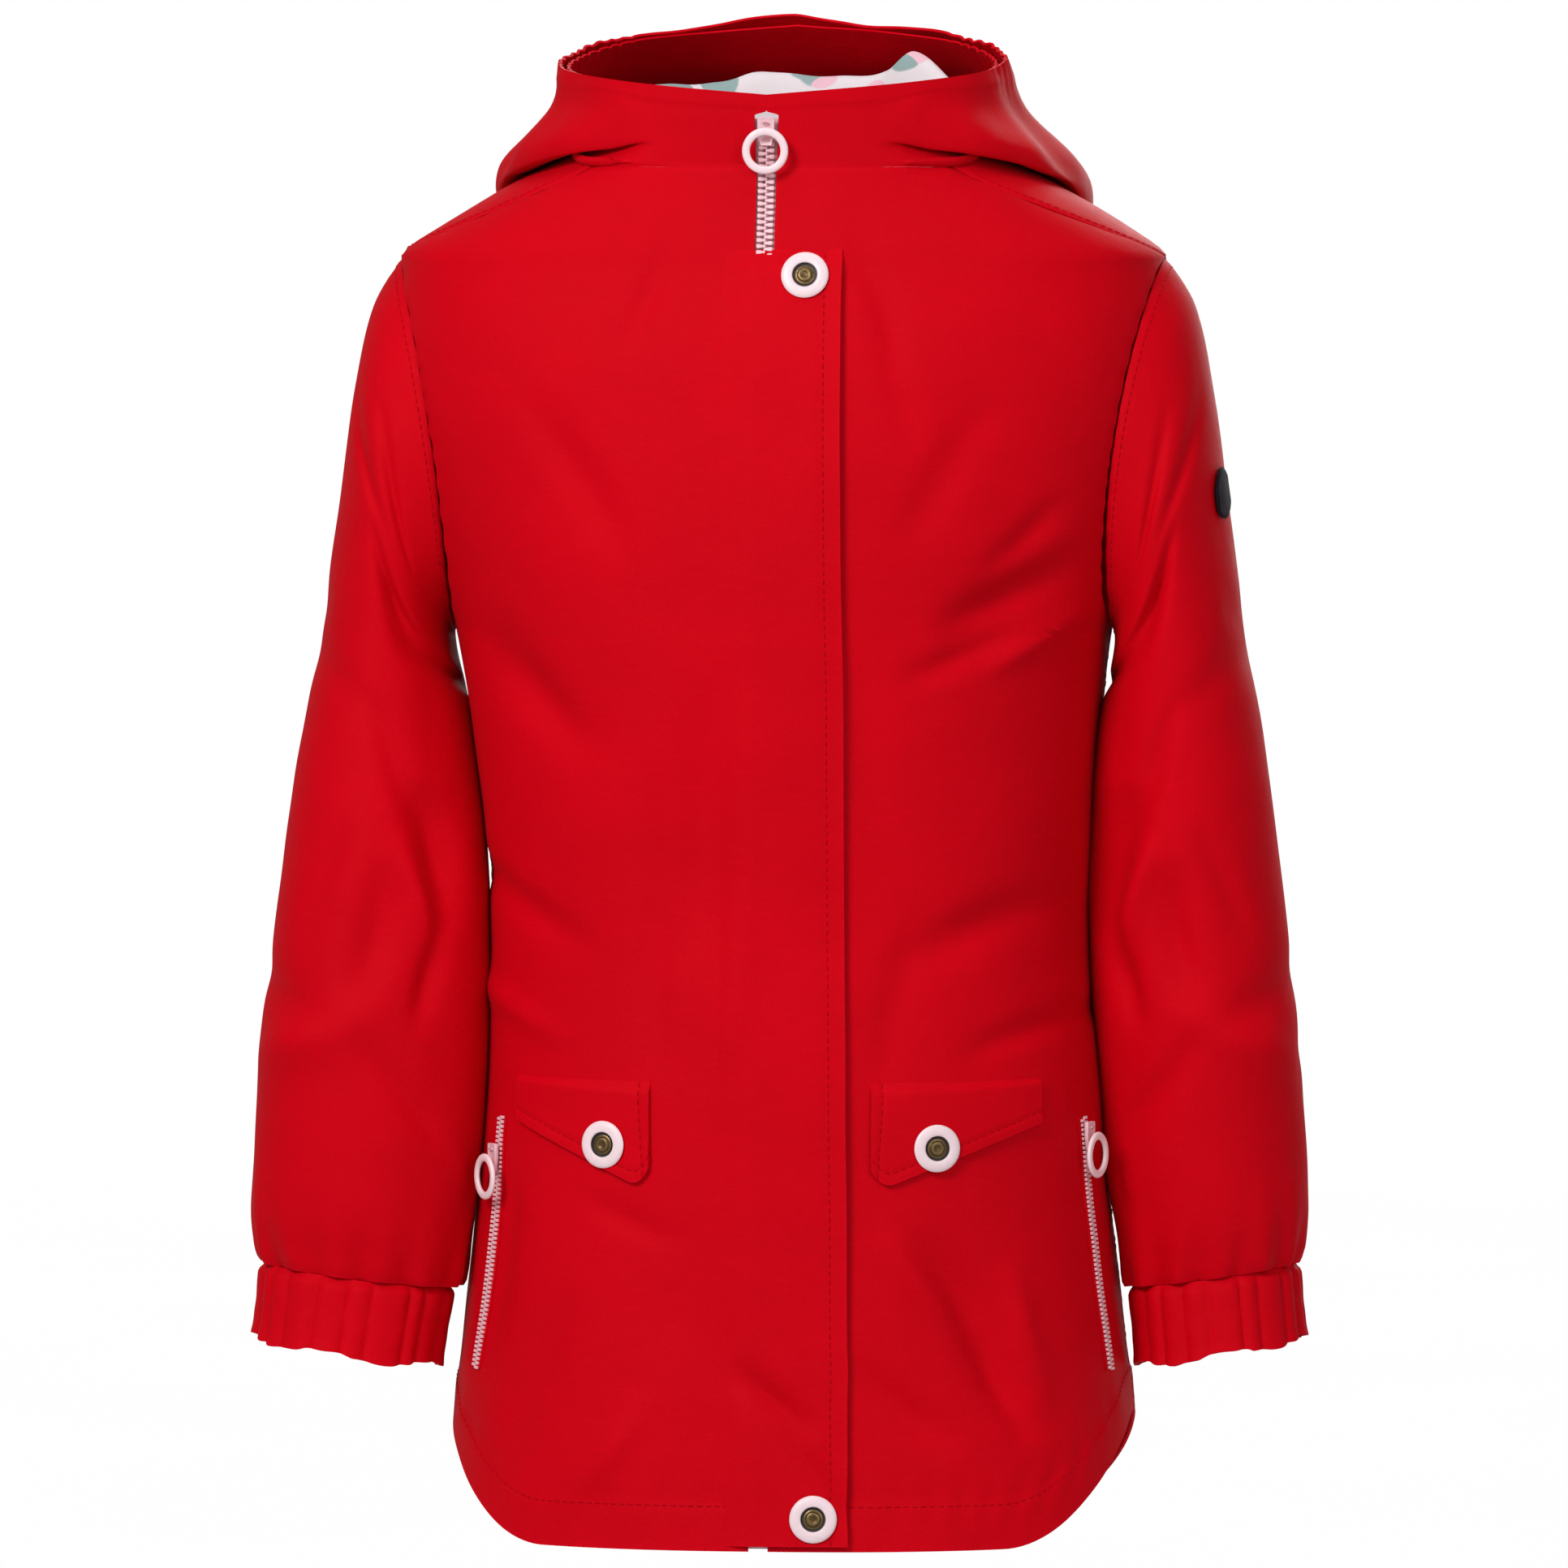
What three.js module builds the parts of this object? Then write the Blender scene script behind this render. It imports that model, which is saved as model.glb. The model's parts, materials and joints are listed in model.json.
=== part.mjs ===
// Child's hooded rain jacket, hollow as it is worn, with the hood down.
// Millimetres. X is the wearer's left, the front faces -Y, Z is up.
// The origin is the middle of the neck opening, level with the neck ends of the shoulders.
import * as THREE from 'three';

// Cloth and seams
const CLOTH = 1.5;
const FLAP_CLOTH = 1.8;
const CUFF_CLOTH = 2.2;
const LINING_CLOTH = 1.0;
const TAPE_CLOTH = 0.8;
const SEAM_GAP = 0.3;
const LAID_ON_GAP = 0.35;

// Torso: rings of a rounded oval from the hem up to the neck and the standing front
const OVAL_POWER = 2.35;
const TORSO = [
  { z: -550, side: 134, front: 104, back: 101, sway: 4 },
  { z: -476, side: 129, front: 101, back: 98, sway: 4 },
  { z: -439, side: 125, front: 99, back: 95, sway: 4 },
  { z: -400, side: 121, front: 98, back: 92, sway: 4 },
  { z: -366, side: 118.8, front: 98, back: 91, sway: 4.5 },
  { z: -330, side: 116, front: 97, back: 90, sway: 3.5 },
  { z: -299, side: 115, front: 96, back: 91, sway: 2.5 },
  { z: -262, side: 117, front: 97, back: 94, sway: 2 },
  { z: -222, side: 121, front: 98, back: 98, sway: 1 },
  { z: -188, side: 126, front: 98, back: 101, sway: 0 },
  { z: -150, side: 134, front: 97, back: 103, sway: 0 },
  { z: -110, side: 141, front: 94, back: 102, sway: 0 },
  { z: -75, side: 147, front: 88, back: 96, sway: 0 },
  { z: -47, side: 147, front: 79, back: 85, sway: 0 },
  { z: -36, side: 133, front: 75.5, back: 76, sway: 0 },
  { z: -20, side: 106, front: 70.5, back: 62, sway: 0 },
  { z: -8, side: 82, front: 68, back: 51, sway: 0 },
  { z: 0, side: 68, front: 67, back: 46, sway: 0 },
  { z: 6, side: 62, front: 66, back: 43, sway: 0 },
];
const NECK_FRONT_Z = -12;
const NECK_SIDE = { rise: 12, from: 52, to: 92 };
const NECK_BACK_RISE = 2;
const HEM_Z = -535;
const HEM_SIDE_RISE = 46;
const HEM_EVEN_Z = -470;
const HEM_RISE_WIDTH = 44;
const SIDE_SEAM_ANGLE = 90;
const ZIP_SLOT = 3.7;

// Forward shoulder seam, from the armhole to the neck, as an angle round each ring
const SHOULDER_SEAM = [
  { z: -46.6, angle: 89 },
  { z: -42, angle: 82 },
  { z: -26, angle: 67 },
  { z: -12, angle: 55 },
  { z: 4, angle: 55 },
];

// Armhole: an oval that leans out at the shoulder, scooped in front and behind
const ARMHOLE = { topX: 147, topZ: -47, lowX: 126, lowZ: -188, depth: 50, scoop: 6 };

// Distances down a sleeve over which it still follows the armhole
const SEAM_REACH = { gap: 10, direction: 12, scoop: 55 };

// Sleeve rings by distance along the outer arm: outer and inner points, half depth and middle;
// the right arm swings forward by `swing` and lies nearer the body by `tuck`
const SLEEVE = [
  { along: 0, outX: 147, outZ: -47, inX: 126, inZ: -188, depth: 50, midY: 0, swing: 0, tuck: 0 },
  { along: 22, outX: 158, outZ: -66, inX: 127.2, inZ: -190, depth: 49.5, midY: 0, swing: 0, tuck: 0 },
  { along: 56, outX: 165, outZ: -98, inX: 127.6, inZ: -193, depth: 48.5, midY: -1, swing: 1, tuck: 0 },
  { along: 92, outX: 170, outZ: -135, inX: 126.8, inZ: -199, depth: 47, midY: -1, swing: 2.5, tuck: 0 },
  { along: 130, outX: 175, outZ: -172, inX: 124.4, inZ: -210, depth: 45.5, midY: -1, swing: 5, tuck: 0.1 },
  { along: 163, outX: 180, outZ: -205, inX: 122.1, inZ: -226, depth: 44, midY: -1, swing: 9, tuck: 0.2 },
  { along: 200, outX: 186, outZ: -242, inX: 119.3, inZ: -254, depth: 43, midY: -2, swing: 14, tuck: 0.5 },
  { along: 238, outX: 191, outZ: -280, inX: 117.1, inZ: -288, depth: 42, midY: -2, swing: 19, tuck: 1 },
  { along: 273, outX: 195.5, outZ: -315, inX: 117.3, inZ: -323, depth: 41, midY: -2, swing: 23, tuck: 1.5 },
  { along: 308, outX: 199, outZ: -350, inX: 119.6, inZ: -358, depth: 40, midY: -2, swing: 26, tuck: 2 },
  { along: 343, outX: 201, outZ: -385, inX: 122.4, inZ: -394, depth: 38, midY: -2, swing: 28, tuck: 2.2 },
  { along: 368, outX: 202, outZ: -410, inX: 126, inZ: -419, depth: 35.5, midY: -2, swing: 29, tuck: 2.2 },
  { along: 385, outX: 200.5, outZ: -425, inX: 128, inZ: -434, depth: 32, midY: -2, swing: 29, tuck: 2 },
  { along: 393, outX: 198.5, outZ: -432, inX: 129, inZ: -441, depth: 30, midY: -2, swing: 29, tuck: 1 },
];
const SLEEVE_END = 393;
const SLEEVE_COLUMNS = 24;
const SLEEVE_ROWS = [0.3, 10, 30, 60, 92, 124, 156, 188, 220, 250, 280, 312, 345, 364, 380, 392.8];
const GATHER_START = 345;
const SLEEVE_GATHERS = 6;
const SLEEVE_GATHER_DEPTH = 1.6;

// Cuff: a pleated elastic band below the sleeve
const CUFF = { outX: 201, outZ: -460, inX: 132, inZ: -471, depth: 31.5, midY: -3, swing: 29, tuck: -1.5 };
const CUFF_PLEATS = 20;
const CUFF_PLEAT_DEPTH = 0.75;
const CUFF_HEM_WAVE = { height: 1.2, waves: 5, turn: 40 };
const CUFF_ROWS = [0.012, 0.5, 1];

// Hood sections by angle round the neck: lowest fold, belly and upper turn of the outer leaf
const HOOD = [
  { angle: 0, foldR: 69, foldZ: -5, bellyR: 69, bellyZ: 3, upperR: 69.5, upperZ: 13 },
  { angle: 45, foldR: 80, foldZ: -5, bellyR: 81, bellyZ: 2, upperR: 80, upperZ: 12 },
  { angle: 60, foldR: 92, foldZ: -8, bellyR: 93, bellyZ: -2, upperR: 85, upperZ: 11 },
  { angle: 75, foldR: 101, foldZ: -12.5, bellyR: 101, bellyZ: -6, upperR: 88, upperZ: 11 },
  { angle: 90, foldR: 108, foldZ: -17, bellyR: 104, bellyZ: -9, upperR: 90, upperZ: 10 },
  { angle: 105, foldR: 116, foldZ: -25, bellyR: 116, bellyZ: -14, upperR: 94, upperZ: 9 },
  { angle: 120, foldR: 128, foldZ: -41, bellyR: 131, bellyZ: -26, upperR: 101, upperZ: 8 },
  { angle: 135, foldR: 136, foldZ: -82, bellyR: 147, bellyZ: -54, upperR: 109, upperZ: 5 },
  { angle: 150, foldR: 131, foldZ: -119, bellyR: 151, bellyZ: -82, upperR: 112, upperZ: 2 },
  { angle: 165, foldR: 123, foldZ: -137, bellyR: 149, bellyZ: -96, upperR: 110, upperZ: 0 },
  { angle: 180, foldR: 120, foldZ: -141, bellyR: 147, bellyZ: -99, upperR: 108, upperZ: -1 },
];
const HOOD_FOLD_START = 31;
const HOOD_FOLD_FULL = 50;
const HOOD_ROLL = 2.6;
const HOOD_SLOT = { low: 3.3, top: 0.5, closeFrom: 0.856, closeTo: 0.9 };
const HOOD_STAND_OFF = { all: 1.2, back: 4, backFrom: 88, backTo: 130 };
const HOOD_COLUMNS = 36;
const HOOD_LAY_SHARES = [0.08, 0.28, 0.5, 0.72, 0.93];
const HOOD_UPPER_SHARE = 0.7;
const STAND_SHARES = [0, 0.04, 0.08, 0.12, 0.16, 0.2, 0.25, 0.33, 0.45, 0.62, 0.86, 1];
const HOOD_ROWS = [0, 1, 2, 3, 4, 5, 6, 6.5, 7, 7.5, 8, 8.5, 9, 9.4, 10, 11];
const RIM = { halfWidth: 85, halfDepth: 63, midY: -7 };
const RIM_HEIGHT = [
  { angle: 0, z: 15.5 },
  { angle: 45, z: 21 },
  { angle: 90, z: 27.5 },
  { angle: 135, z: 38.5 },
  { angle: 180, z: 44.5 },
];
const FACING = { from: 70, to: 290, behind: 0.85, gatherFrom: 88, gatherTo: 136, gatherFade: 8 };
const FACING_ROWS = [9.4, 9.7, 10, 10.5, 10.94];
const FACING_BACK_COLUMNS = 7;
const FACING_GATHERS = 9;
const FACING_GATHER_DEPTH = 1.1;
const LINING_TOP = [
  { angle: 108, z: 20 },
  { angle: 115, z: 23 },
  { angle: 131, z: 34 },
  { angle: 140, z: 29 },
  { angle: 150, z: 26 },
  { angle: 173, z: 27.5 },
  { angle: 195, z: 28 },
  { angle: 214, z: 23 },
  { angle: 242, z: 23 },
  { angle: 250, z: 20 },
];

// Section of the lining: distance out from the neck wall, and height as a share of the top and a drop
const LINING_SECTION = [
  { out: -1.5, share: 0, drop: 14 },
  { out: -1.5, share: 0, drop: -2 },
  { out: 0.5, share: 0.6, drop: 0 },
  { out: 4, share: 1, drop: 1.5 },
  { out: 7, share: 1, drop: 0 },
  { out: 10, share: 1, drop: 3 },
  { out: 12, share: 0.6, drop: 0 },
  { out: 12.5, share: 0.25, drop: 0 },
];
const LINING_ROWS = [0, 0.2, 0.42, 0.52, 0.62, 0.76, 1];
const LINING_COLUMNS = 18;

// Storm flap over the zip, from just beside the teeth to its free edge
const STORM_FLAP = { innerX: -7.5, topX: 29.5, hemX: 34, topZ: -43, lift: 1, hemRise: 2 };
const STORM_FLAP_ROWS = 22;

// Pocket flaps on the fronts and zips at the sides
const POCKET_FLAP = { innerX: 42, leftX: 103, rightX: 95, topZ: -357.5, innerDrop: 42, outerDrop: 17 };
const POCKET_CORNER = { share: 0.16, rise: 9 };
const POCKET_FLAP_COLUMNS = [0, 0.04, 0.1, 0.2, 0.36, 0.52, 0.68, 0.84, 1];
const POCKET_ZIP = { left: 71, right: -64, turnOut: 3, topZ: -374, lowZ: -471, width: 5, depth: 1.4 };
const POCKET_SLIDER_Z = { left: -381, right: -390 };
const POCKET_ZIP_ROWS = 10;

// Zips, sliders and ring pulls
const CHAIN_WIDTH = 6;
const CHAIN_PROUD = 0.6;
const CHAIN_DEPTH = 2.6;
const CHAIN_TOP_Z = 5.5;
const TAPE_HALF = 12;
const SLIDER_Z = 1.5;
const SLIDER = { width: 4, height: 11, depth: 1.6, hole: 2.4, arch: 3.6, seat: 0.6 };
const RING = { outer: 8.8, inner: 5.8, depth: 1.8, bevel: 0.7 };
const ROUND_SEGMENTS = 16;
const ARCH_SEGMENTS = 7;

// Press snaps: a wide cap with a well and a small stud, as profiles of radius and height
const SNAP_SEAT = 0.75;
const SNAP_CAP = [[4.6, 0], [9, 0], [8.5, 1.1], [5.6, 1.5], [4.6, 1.1], [4.6, 0]];
const SNAP_STUD = [[0, 0], [3.9, 0], [3.9, 0.5], [2.6, 0.6], [1.6, 1.2], [0, 1.2]];
const SNAPS = [
  { name: 'top', x: 16, z: -53.5, over: 'flap' },
  { name: 'hem', x: 21, z: -522.5, over: 'flap' },
  { name: 'pocket_left', x: 66, z: -382.5, over: 'pocket' },
  { name: 'pocket_right', x: -59.5, z: -382, over: 'pocket' },
];

// Plain patch on the outer side of the left sleeve
const BADGE = { turn: 19, halfTurn: 12, along: 92, height: 19, depth: 0.9, narrowing: 0.75 };

// Largest creases of the torso, outward positive: place, half length, half width, lean from upright
const TORSO_CREASES = [
  { x: 94, z: -174, halfLength: 34, halfWidth: 7, lift: -3.2, lean: 58, front: true },
  { x: 78, z: -448, halfLength: 42, halfWidth: 9, lift: -2.6, lean: -30, front: true },
  { x: -24, z: -262, halfLength: 60, halfWidth: 9, lift: -1.4, lean: 3, front: true },
  { x: 6, z: -478, halfLength: 24, halfWidth: 6, lift: -1.8, lean: -42, front: true },
  { x: -88, z: -210, halfLength: 40, halfWidth: 9, lift: -2.2, lean: -40, front: true },
  { x: 84, z: -300, halfLength: 36, halfWidth: 8, lift: -1.8, lean: 66, front: true },
  { x: -70, z: -250, halfLength: 50, halfWidth: 9, lift: -2.6, lean: 22, front: false },
  { x: 66, z: -300, halfLength: 60, halfWidth: 10, lift: -2.8, lean: -12, front: false },
  { x: 12, z: -400, halfLength: 70, halfWidth: 12, lift: 2.4, lean: 4, front: false },
  { x: -64, z: -440, halfLength: 55, halfWidth: 11, lift: 2.6, lean: -8, front: false },
];

// Largest creases of a sleeve: distance along, turn from the outer line through the front
const SLEEVE_CREASES = [
  { along: 226, turn: 132, halfLength: 34, halfWidth: 7, lift: -3.4 },
  { along: 258, turn: 96, halfLength: 30, halfWidth: 8, lift: -2.2 },
  { along: 205, turn: 250, halfLength: 36, halfWidth: 8, lift: -2.8 },
  { along: 300, turn: 60, halfLength: 40, halfWidth: 9, lift: 1.8 },
  { along: 120, turn: 128, halfLength: 40, halfWidth: 9, lift: -2.6 },
];

// Colours
const COLOURS = {
  shell: { color: 0xc8000f, roughness: 0.62, metalness: 0 },
  lining: { color: 0xebe1e4, roughness: 0.7, metalness: 0 },
  trim: { color: 0xfae1e6, roughness: 0.45, metalness: 0 },
  zip: { color: 0xf2cdd4, roughness: 0.5, metalness: 0 },
  stud: { color: 0x6e5532, roughness: 0.35, metalness: 0.9 },
  badge: { color: 0x3a2028, roughness: 0.6, metalness: 0 },
};

const jacket = new THREE.Group();
const { clamp, degToRad, lerp, smoothstep } = THREE.MathUtils;

// Smooth value of one column of a table at a place in its key column
function column(table, key, name, at) {
  const last = table.length - 1;
  let i = 0;
  while (i < last - 1 && at > table[i + 1][key]) {
    i += 1;
  }
  const span = table[i + 1][key] - table[i][key];
  const t = clamp((at - table[i][key]) / span, 0, 1);
  const slope = (k) => {
    const low = table[Math.max(k - 1, 0)];
    const high = table[Math.min(k + 1, last)];
    return ((high[name] - low[name]) / (high[key] - low[key])) * span;
  };
  const t2 = t * t;
  const t3 = t2 * t;
  return (2 * t3 - 3 * t2 + 1) * table[i][name] + (t3 - 2 * t2 + t) * slope(i)
    + (3 * t2 - 2 * t3) * table[i + 1][name] + (t3 - t2) * slope(i + 1);
}

function mix(a, b, share) {
  return new THREE.Vector3().lerpVectors(a, b, share);
}

// Height of a soft crease with tapered ends, from the distances along and across it
function crease(alongIt, acrossIt, { halfLength, halfWidth, lift }) {
  const ends = Math.max(0, 1 - (alongIt / halfLength) ** 2);
  return lift * ends * ends * Math.exp(-((acrossIt / halfWidth) ** 2));
}

// Point of the armhole: turn 0 at the shoulder, 90 in front, 180 under the arm
function armholePoint(side, turn, grow = 0) {
  const c = Math.cos(degToRad(turn));
  const s = Math.sin(degToRad(turn));
  const x = (ARMHOLE.topX + ARMHOLE.lowX + (ARMHOLE.topX - ARMHOLE.lowX) * c) / 2;
  const z = (ARMHOLE.topZ + ARMHOLE.lowZ + (ARMHOLE.topZ - ARMHOLE.lowZ) * c) / 2 + grow * c;
  return new THREE.Vector3(side * (x - ARMHOLE.scoop * s * s), -(ARMHOLE.depth + grow) * s, z);
}

// Armhole edge at a height, in front or behind, or null above and below it
function armholeAt(side, z, ahead) {
  const c = (2 * z - ARMHOLE.topZ - ARMHOLE.lowZ) / (ARMHOLE.topZ - ARMHOLE.lowZ);
  if (Math.abs(c) >= 1) {
    return null;
  }
  const turn = THREE.MathUtils.radToDeg(Math.acos(c));
  return armholePoint(side, ahead ? turn : -turn);
}

// Half width of a torso ring; beside an armhole the ring passes through the armhole's edge
function sideReach(z, side, ahead, depth) {
  const edge = armholeAt(side, z, ahead);
  if (!edge) {
    return column(TORSO, 'z', 'side', z);
  }
  const back = 1 - (Math.abs(edge.y) / depth) ** OVAL_POWER;
  return Math.abs(edge.x) / back ** (1 / OVAL_POWER);
}

// Smooth outer face of the torso: angle 0 in front, 90 at the wearer's left, 180 behind
function torsoSmooth(angle, z) {
  const across = Math.sin(degToRad(angle));
  const ahead = Math.cos(degToRad(angle));
  const side = across < 0 ? -1 : 1;
  const depth = column(TORSO, 'z', ahead > 0 ? 'front' : 'back', z);
  const half = sideReach(z, side, ahead > 0, depth);
  const reach = Math.abs(across / half) ** OVAL_POWER + Math.abs(ahead / depth) ** OVAL_POWER;
  const radius = reach ** (-1 / OVAL_POWER);
  const sway = column(TORSO, 'z', 'sway', z);
  return new THREE.Vector3(sway + radius * across, -radius * ahead, z);
}

// Direction square to a face at (u, v), out of the side from which v is to the left of u
function surfaceNormal(face, u, v, stepU, stepV) {
  const alongU = face(u + stepU, v).sub(face(u - stepU, v));
  const alongV = face(u, v + stepV).sub(face(u, v - stepV));
  return alongU.cross(alongV).normalize();
}

// Torso face with its creases
function torsoFace(angle, z) {
  const point = torsoSmooth(angle, z);
  const isFront = Math.cos(degToRad(angle)) > 0;
  let lift = 0;
  for (const fold of TORSO_CREASES.filter((row) => row.front === isFront)) {
    const lean = degToRad(fold.lean);
    const dx = point.x - fold.x;
    const dz = z - fold.z;
    const alongIt = dx * Math.sin(lean) + dz * Math.cos(lean);
    const acrossIt = dx * Math.cos(lean) - dz * Math.sin(lean);
    lift += crease(alongIt, acrossIt, fold);
  }
  return point.addScaledVector(surfaceNormal(torsoSmooth, angle, z, 0.5, 0.5), lift);
}

// Place and outward direction on the torso, moved out by a given distance
function onTorso(angle, z, out = 0) {
  const normal = surfaceNormal(torsoFace, angle, z, 0.7, 0.7);
  return { point: torsoFace(angle, z).addScaledVector(normal, out), normal };
}

// Angle round the front of a torso ring at which it has a given x
function angleAtX(x, z) {
  const depth = column(TORSO, 'z', 'front', z);
  const sway = column(TORSO, 'z', 'sway', z);
  const half = sideReach(z, x < 0 ? -1 : 1, true, depth);
  const share = Math.min(Math.abs(x - sway) / half, 1);
  const y = depth * (1 - share ** OVAL_POWER) ** (1 / OVAL_POWER);
  return THREE.MathUtils.radToDeg(Math.atan2(x - sway, y));
}

function neckHeight(angle) {
  const away = Math.abs(THREE.MathUtils.euclideanModulo(angle + 180, 360) - 180);
  return NECK_FRONT_Z + NECK_SIDE.rise * smoothstep(away, NECK_SIDE.from, NECK_SIDE.to)
    + NECK_BACK_RISE * smoothstep(away, NECK_SIDE.to, 180);
}

function hemHeight(angle) {
  const away = Math.abs(Math.abs(THREE.MathUtils.euclideanModulo(angle + 180, 360) - 180) - 90);
  return HEM_Z + HEM_SIDE_RISE * (1 - smoothstep(away, 0, HEM_RISE_WIDTH));
}

// Height on the torso from an even row height: the last rows follow the hem and the neck
function rowHeight(even, angle) {
  if (even < HEM_EVEN_Z) {
    return lerp(HEM_EVEN_Z, hemHeight(angle), (even - HEM_EVEN_Z) / (HEM_Z - HEM_EVEN_Z));
  }
  if (even > NECK_FRONT_Z) {
    return lerp(NECK_FRONT_Z, neckHeight(angle), (even - NECK_FRONT_Z) / -NECK_FRONT_Z);
  }
  return even;
}

// Triangles of a closed wall between two grids of points, joined round their edges
function wallGeometry(outer, inner, closed) {
  const rows = outer.length;
  const cols = outer[0].length;
  const positions = [...outer.flat(), ...inner.flat()].flatMap((p) => [p.x, p.y, p.z]);
  const index = [];
  const at = (layer, r, c) => layer * rows * cols + r * cols + (c % cols);
  const quad = (a, b, c, d) => index.push(a, b, c, a, c, d);
  const spans = closed ? cols : cols - 1;
  for (let r = 0; r < rows - 1; r += 1) {
    for (let c = 0; c < spans; c += 1) {
      quad(at(0, r, c), at(0, r, c + 1), at(0, r + 1, c + 1), at(0, r + 1, c));
      quad(at(1, r, c), at(1, r + 1, c), at(1, r + 1, c + 1), at(1, r, c + 1));
    }
  }
  for (let c = 0; c < spans; c += 1) {
    quad(at(0, 0, c), at(1, 0, c), at(1, 0, c + 1), at(0, 0, c + 1));
    quad(at(0, rows - 1, c), at(0, rows - 1, c + 1), at(1, rows - 1, c + 1), at(1, rows - 1, c));
  }
  if (!closed) {
    for (let r = 0; r < rows - 1; r += 1) {
      quad(at(0, r, 0), at(0, r + 1, 0), at(1, r + 1, 0), at(1, r, 0));
      quad(at(0, r, cols - 1), at(1, r, cols - 1), at(1, r + 1, cols - 1), at(0, r + 1, cols - 1));
    }
  }
  const geometry = new THREE.BufferGeometry();
  geometry.setAttribute('position', new THREE.Float32BufferAttribute(positions, 3));
  geometry.setIndex(signedVolume(positions, index) < 0 ? index.reverse() : index);
  geometry.computeVertexNormals();
  return geometry;
}

function signedVolume(positions, index) {
  let volume = 0;
  const point = (i) => new THREE.Vector3().fromArray(positions, 3 * i);
  for (let i = 0; i < index.length; i += 3) {
    volume += point(index[i]).dot(point(index[i + 1]).cross(point(index[i + 2])));
  }
  return volume;
}

// Adds one piece of cloth: face(u, v) gives a place and direction on its outer face
function addCloth(name, colour, thickness, face, us, vs, closed = false) {
  const grid = vs.map((v) => us.map((u) => face(u, v)));
  const outer = grid.map((row) => row.map(({ point }) => point));
  const inner = grid.map((row) => row.map(
    ({ point, normal }) => point.clone().addScaledVector(normal, -thickness),
  ));
  addMesh(name, colour, wallGeometry(outer, inner, closed));
}

function addMesh(name, colour, geometry, parent = jacket) {
  const mesh = new THREE.Mesh(geometry, new THREE.MeshStandardMaterial(COLOURS[colour]));
  mesh.name = name;
  parent.add(mesh);
  return mesh;
}

// Even steps from a to b
function steps(a, b, count) {
  return Array.from({ length: count + 1 }, (_, i) => lerp(a, b, i / count));
}

// Rows of the torso panels: even ones, those of the armhole's points, and those of the shoulder
const ARMHOLE_TURNS = steps(180, 0, SLEEVE_COLUMNS / 2);
const SKIRT_ROWS = [HEM_Z, -518, -496, HEM_EVEN_Z, -440, -408, -374, -340, -304, -266, -230, -206];
const ARMHOLE_ROWS = ARMHOLE_TURNS.map((turn) => armholePoint(1, turn, SEAM_GAP).z);
const SHOULDER_ROWS = [-42, -34, -26, -19, NECK_FRONT_Z];
const NECK_ROWS = [-6, 0];

// Angle of a torso panel's edge at a row: side seam, armhole or forward shoulder seam
function panelEdge(side, z, ahead) {
  const away = ahead ? -1 : 1;
  const half = column(TORSO, 'z', 'side', z);
  const seam = THREE.MathUtils.radToDeg(SEAM_GAP / 2 / half);
  const row = ARMHOLE_ROWS.indexOf(z);
  if (row >= 0) {
    const turn = ahead ? ARMHOLE_TURNS[row] : -ARMHOLE_TURNS[row];
    const edge = armholePoint(side, turn, SEAM_GAP);
    const angle = THREE.MathUtils.radToDeg(Math.atan2(Math.abs(edge.x), -edge.y));
    return side * (ahead ? Math.min(angle, 90 - seam) : Math.max(angle, 90 + seam));
  }
  if (z < ARMHOLE.lowZ) {
    return side * (SIDE_SEAM_ANGLE + away * seam);
  }
  return side * (column(SHOULDER_SEAM, 'z', 'angle', z) + away * seam);
}

function addFront(name, side) {
  const face = (u, even) => {
    const start = angleAtX(side * ZIP_SLOT, even);
    const angle = lerp(start, panelEdge(side, even, true), u);
    return onTorso(angle, rowHeight(even, angle));
  };
  const rows = [...SKIRT_ROWS, ...ARMHOLE_ROWS, ...SHOULDER_ROWS];
  addCloth(name, 'shell', CLOTH, face, steps(0, 1, 8), rows);
}

function addBack() {
  const face = (u, even) => {
    const left = panelEdge(1, even, false);
    const right = 360 + panelEdge(-1, even, false);
    const angle = lerp(left, right, u);
    return onTorso(angle, rowHeight(even, angle));
  };
  const rows = [...SKIRT_ROWS, ...ARMHOLE_ROWS, ...SHOULDER_ROWS, ...NECK_ROWS];
  addCloth('back', 'shell', CLOTH, face, steps(0, 1, 16), rows);
}

// Outer face of a sleeve: turn 0 on the outer line, 90 in front, 180 beside the body
function sleeveFace(side, turn, along) {
  const c = Math.cos(degToRad(turn));
  const s = Math.sin(degToRad(turn));
  const value = (name) => column(SLEEVE, 'along', name, along);
  const swung = side < 0 ? 1 : 0;
  const innerX = value('inX') - swung * value('tuck') + side * column(TORSO, 'z', 'sway', value('inZ'));
  const atArmhole = 1 - smoothstep(along, 0, SEAM_REACH.scoop);
  const centre = new THREE.Vector3(
    (value('outX') + innerX) / 2 - ARMHOLE.scoop * atArmhole * s * s,
    value('midY') - swung * value('swing'),
    (value('outZ') + value('inZ')) / 2,
  );
  const arm = new THREE.Vector3(
    ((value('outX') - innerX) / 2) * c,
    -value('depth') * s,
    ((value('outZ') - value('inZ')) / 2) * c,
  );
  const reach = arm.length();
  const gathers = smoothstep(along, GATHER_START, SLEEVE_END) * Math.cos(degToRad(SLEEVE_GATHERS * turn));
  let lift = gathers * SLEEVE_GATHER_DEPTH - SEAM_GAP * (1 - smoothstep(along, 0, SEAM_REACH.gap));
  for (const fold of SLEEVE_CREASES) {
    lift += crease((turn - fold.turn) * degToRad(reach), along - fold.along, fold);
  }
  const point = centre.addScaledVector(arm, 1 + lift / reach);
  point.x *= side;
  return point;
}

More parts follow.
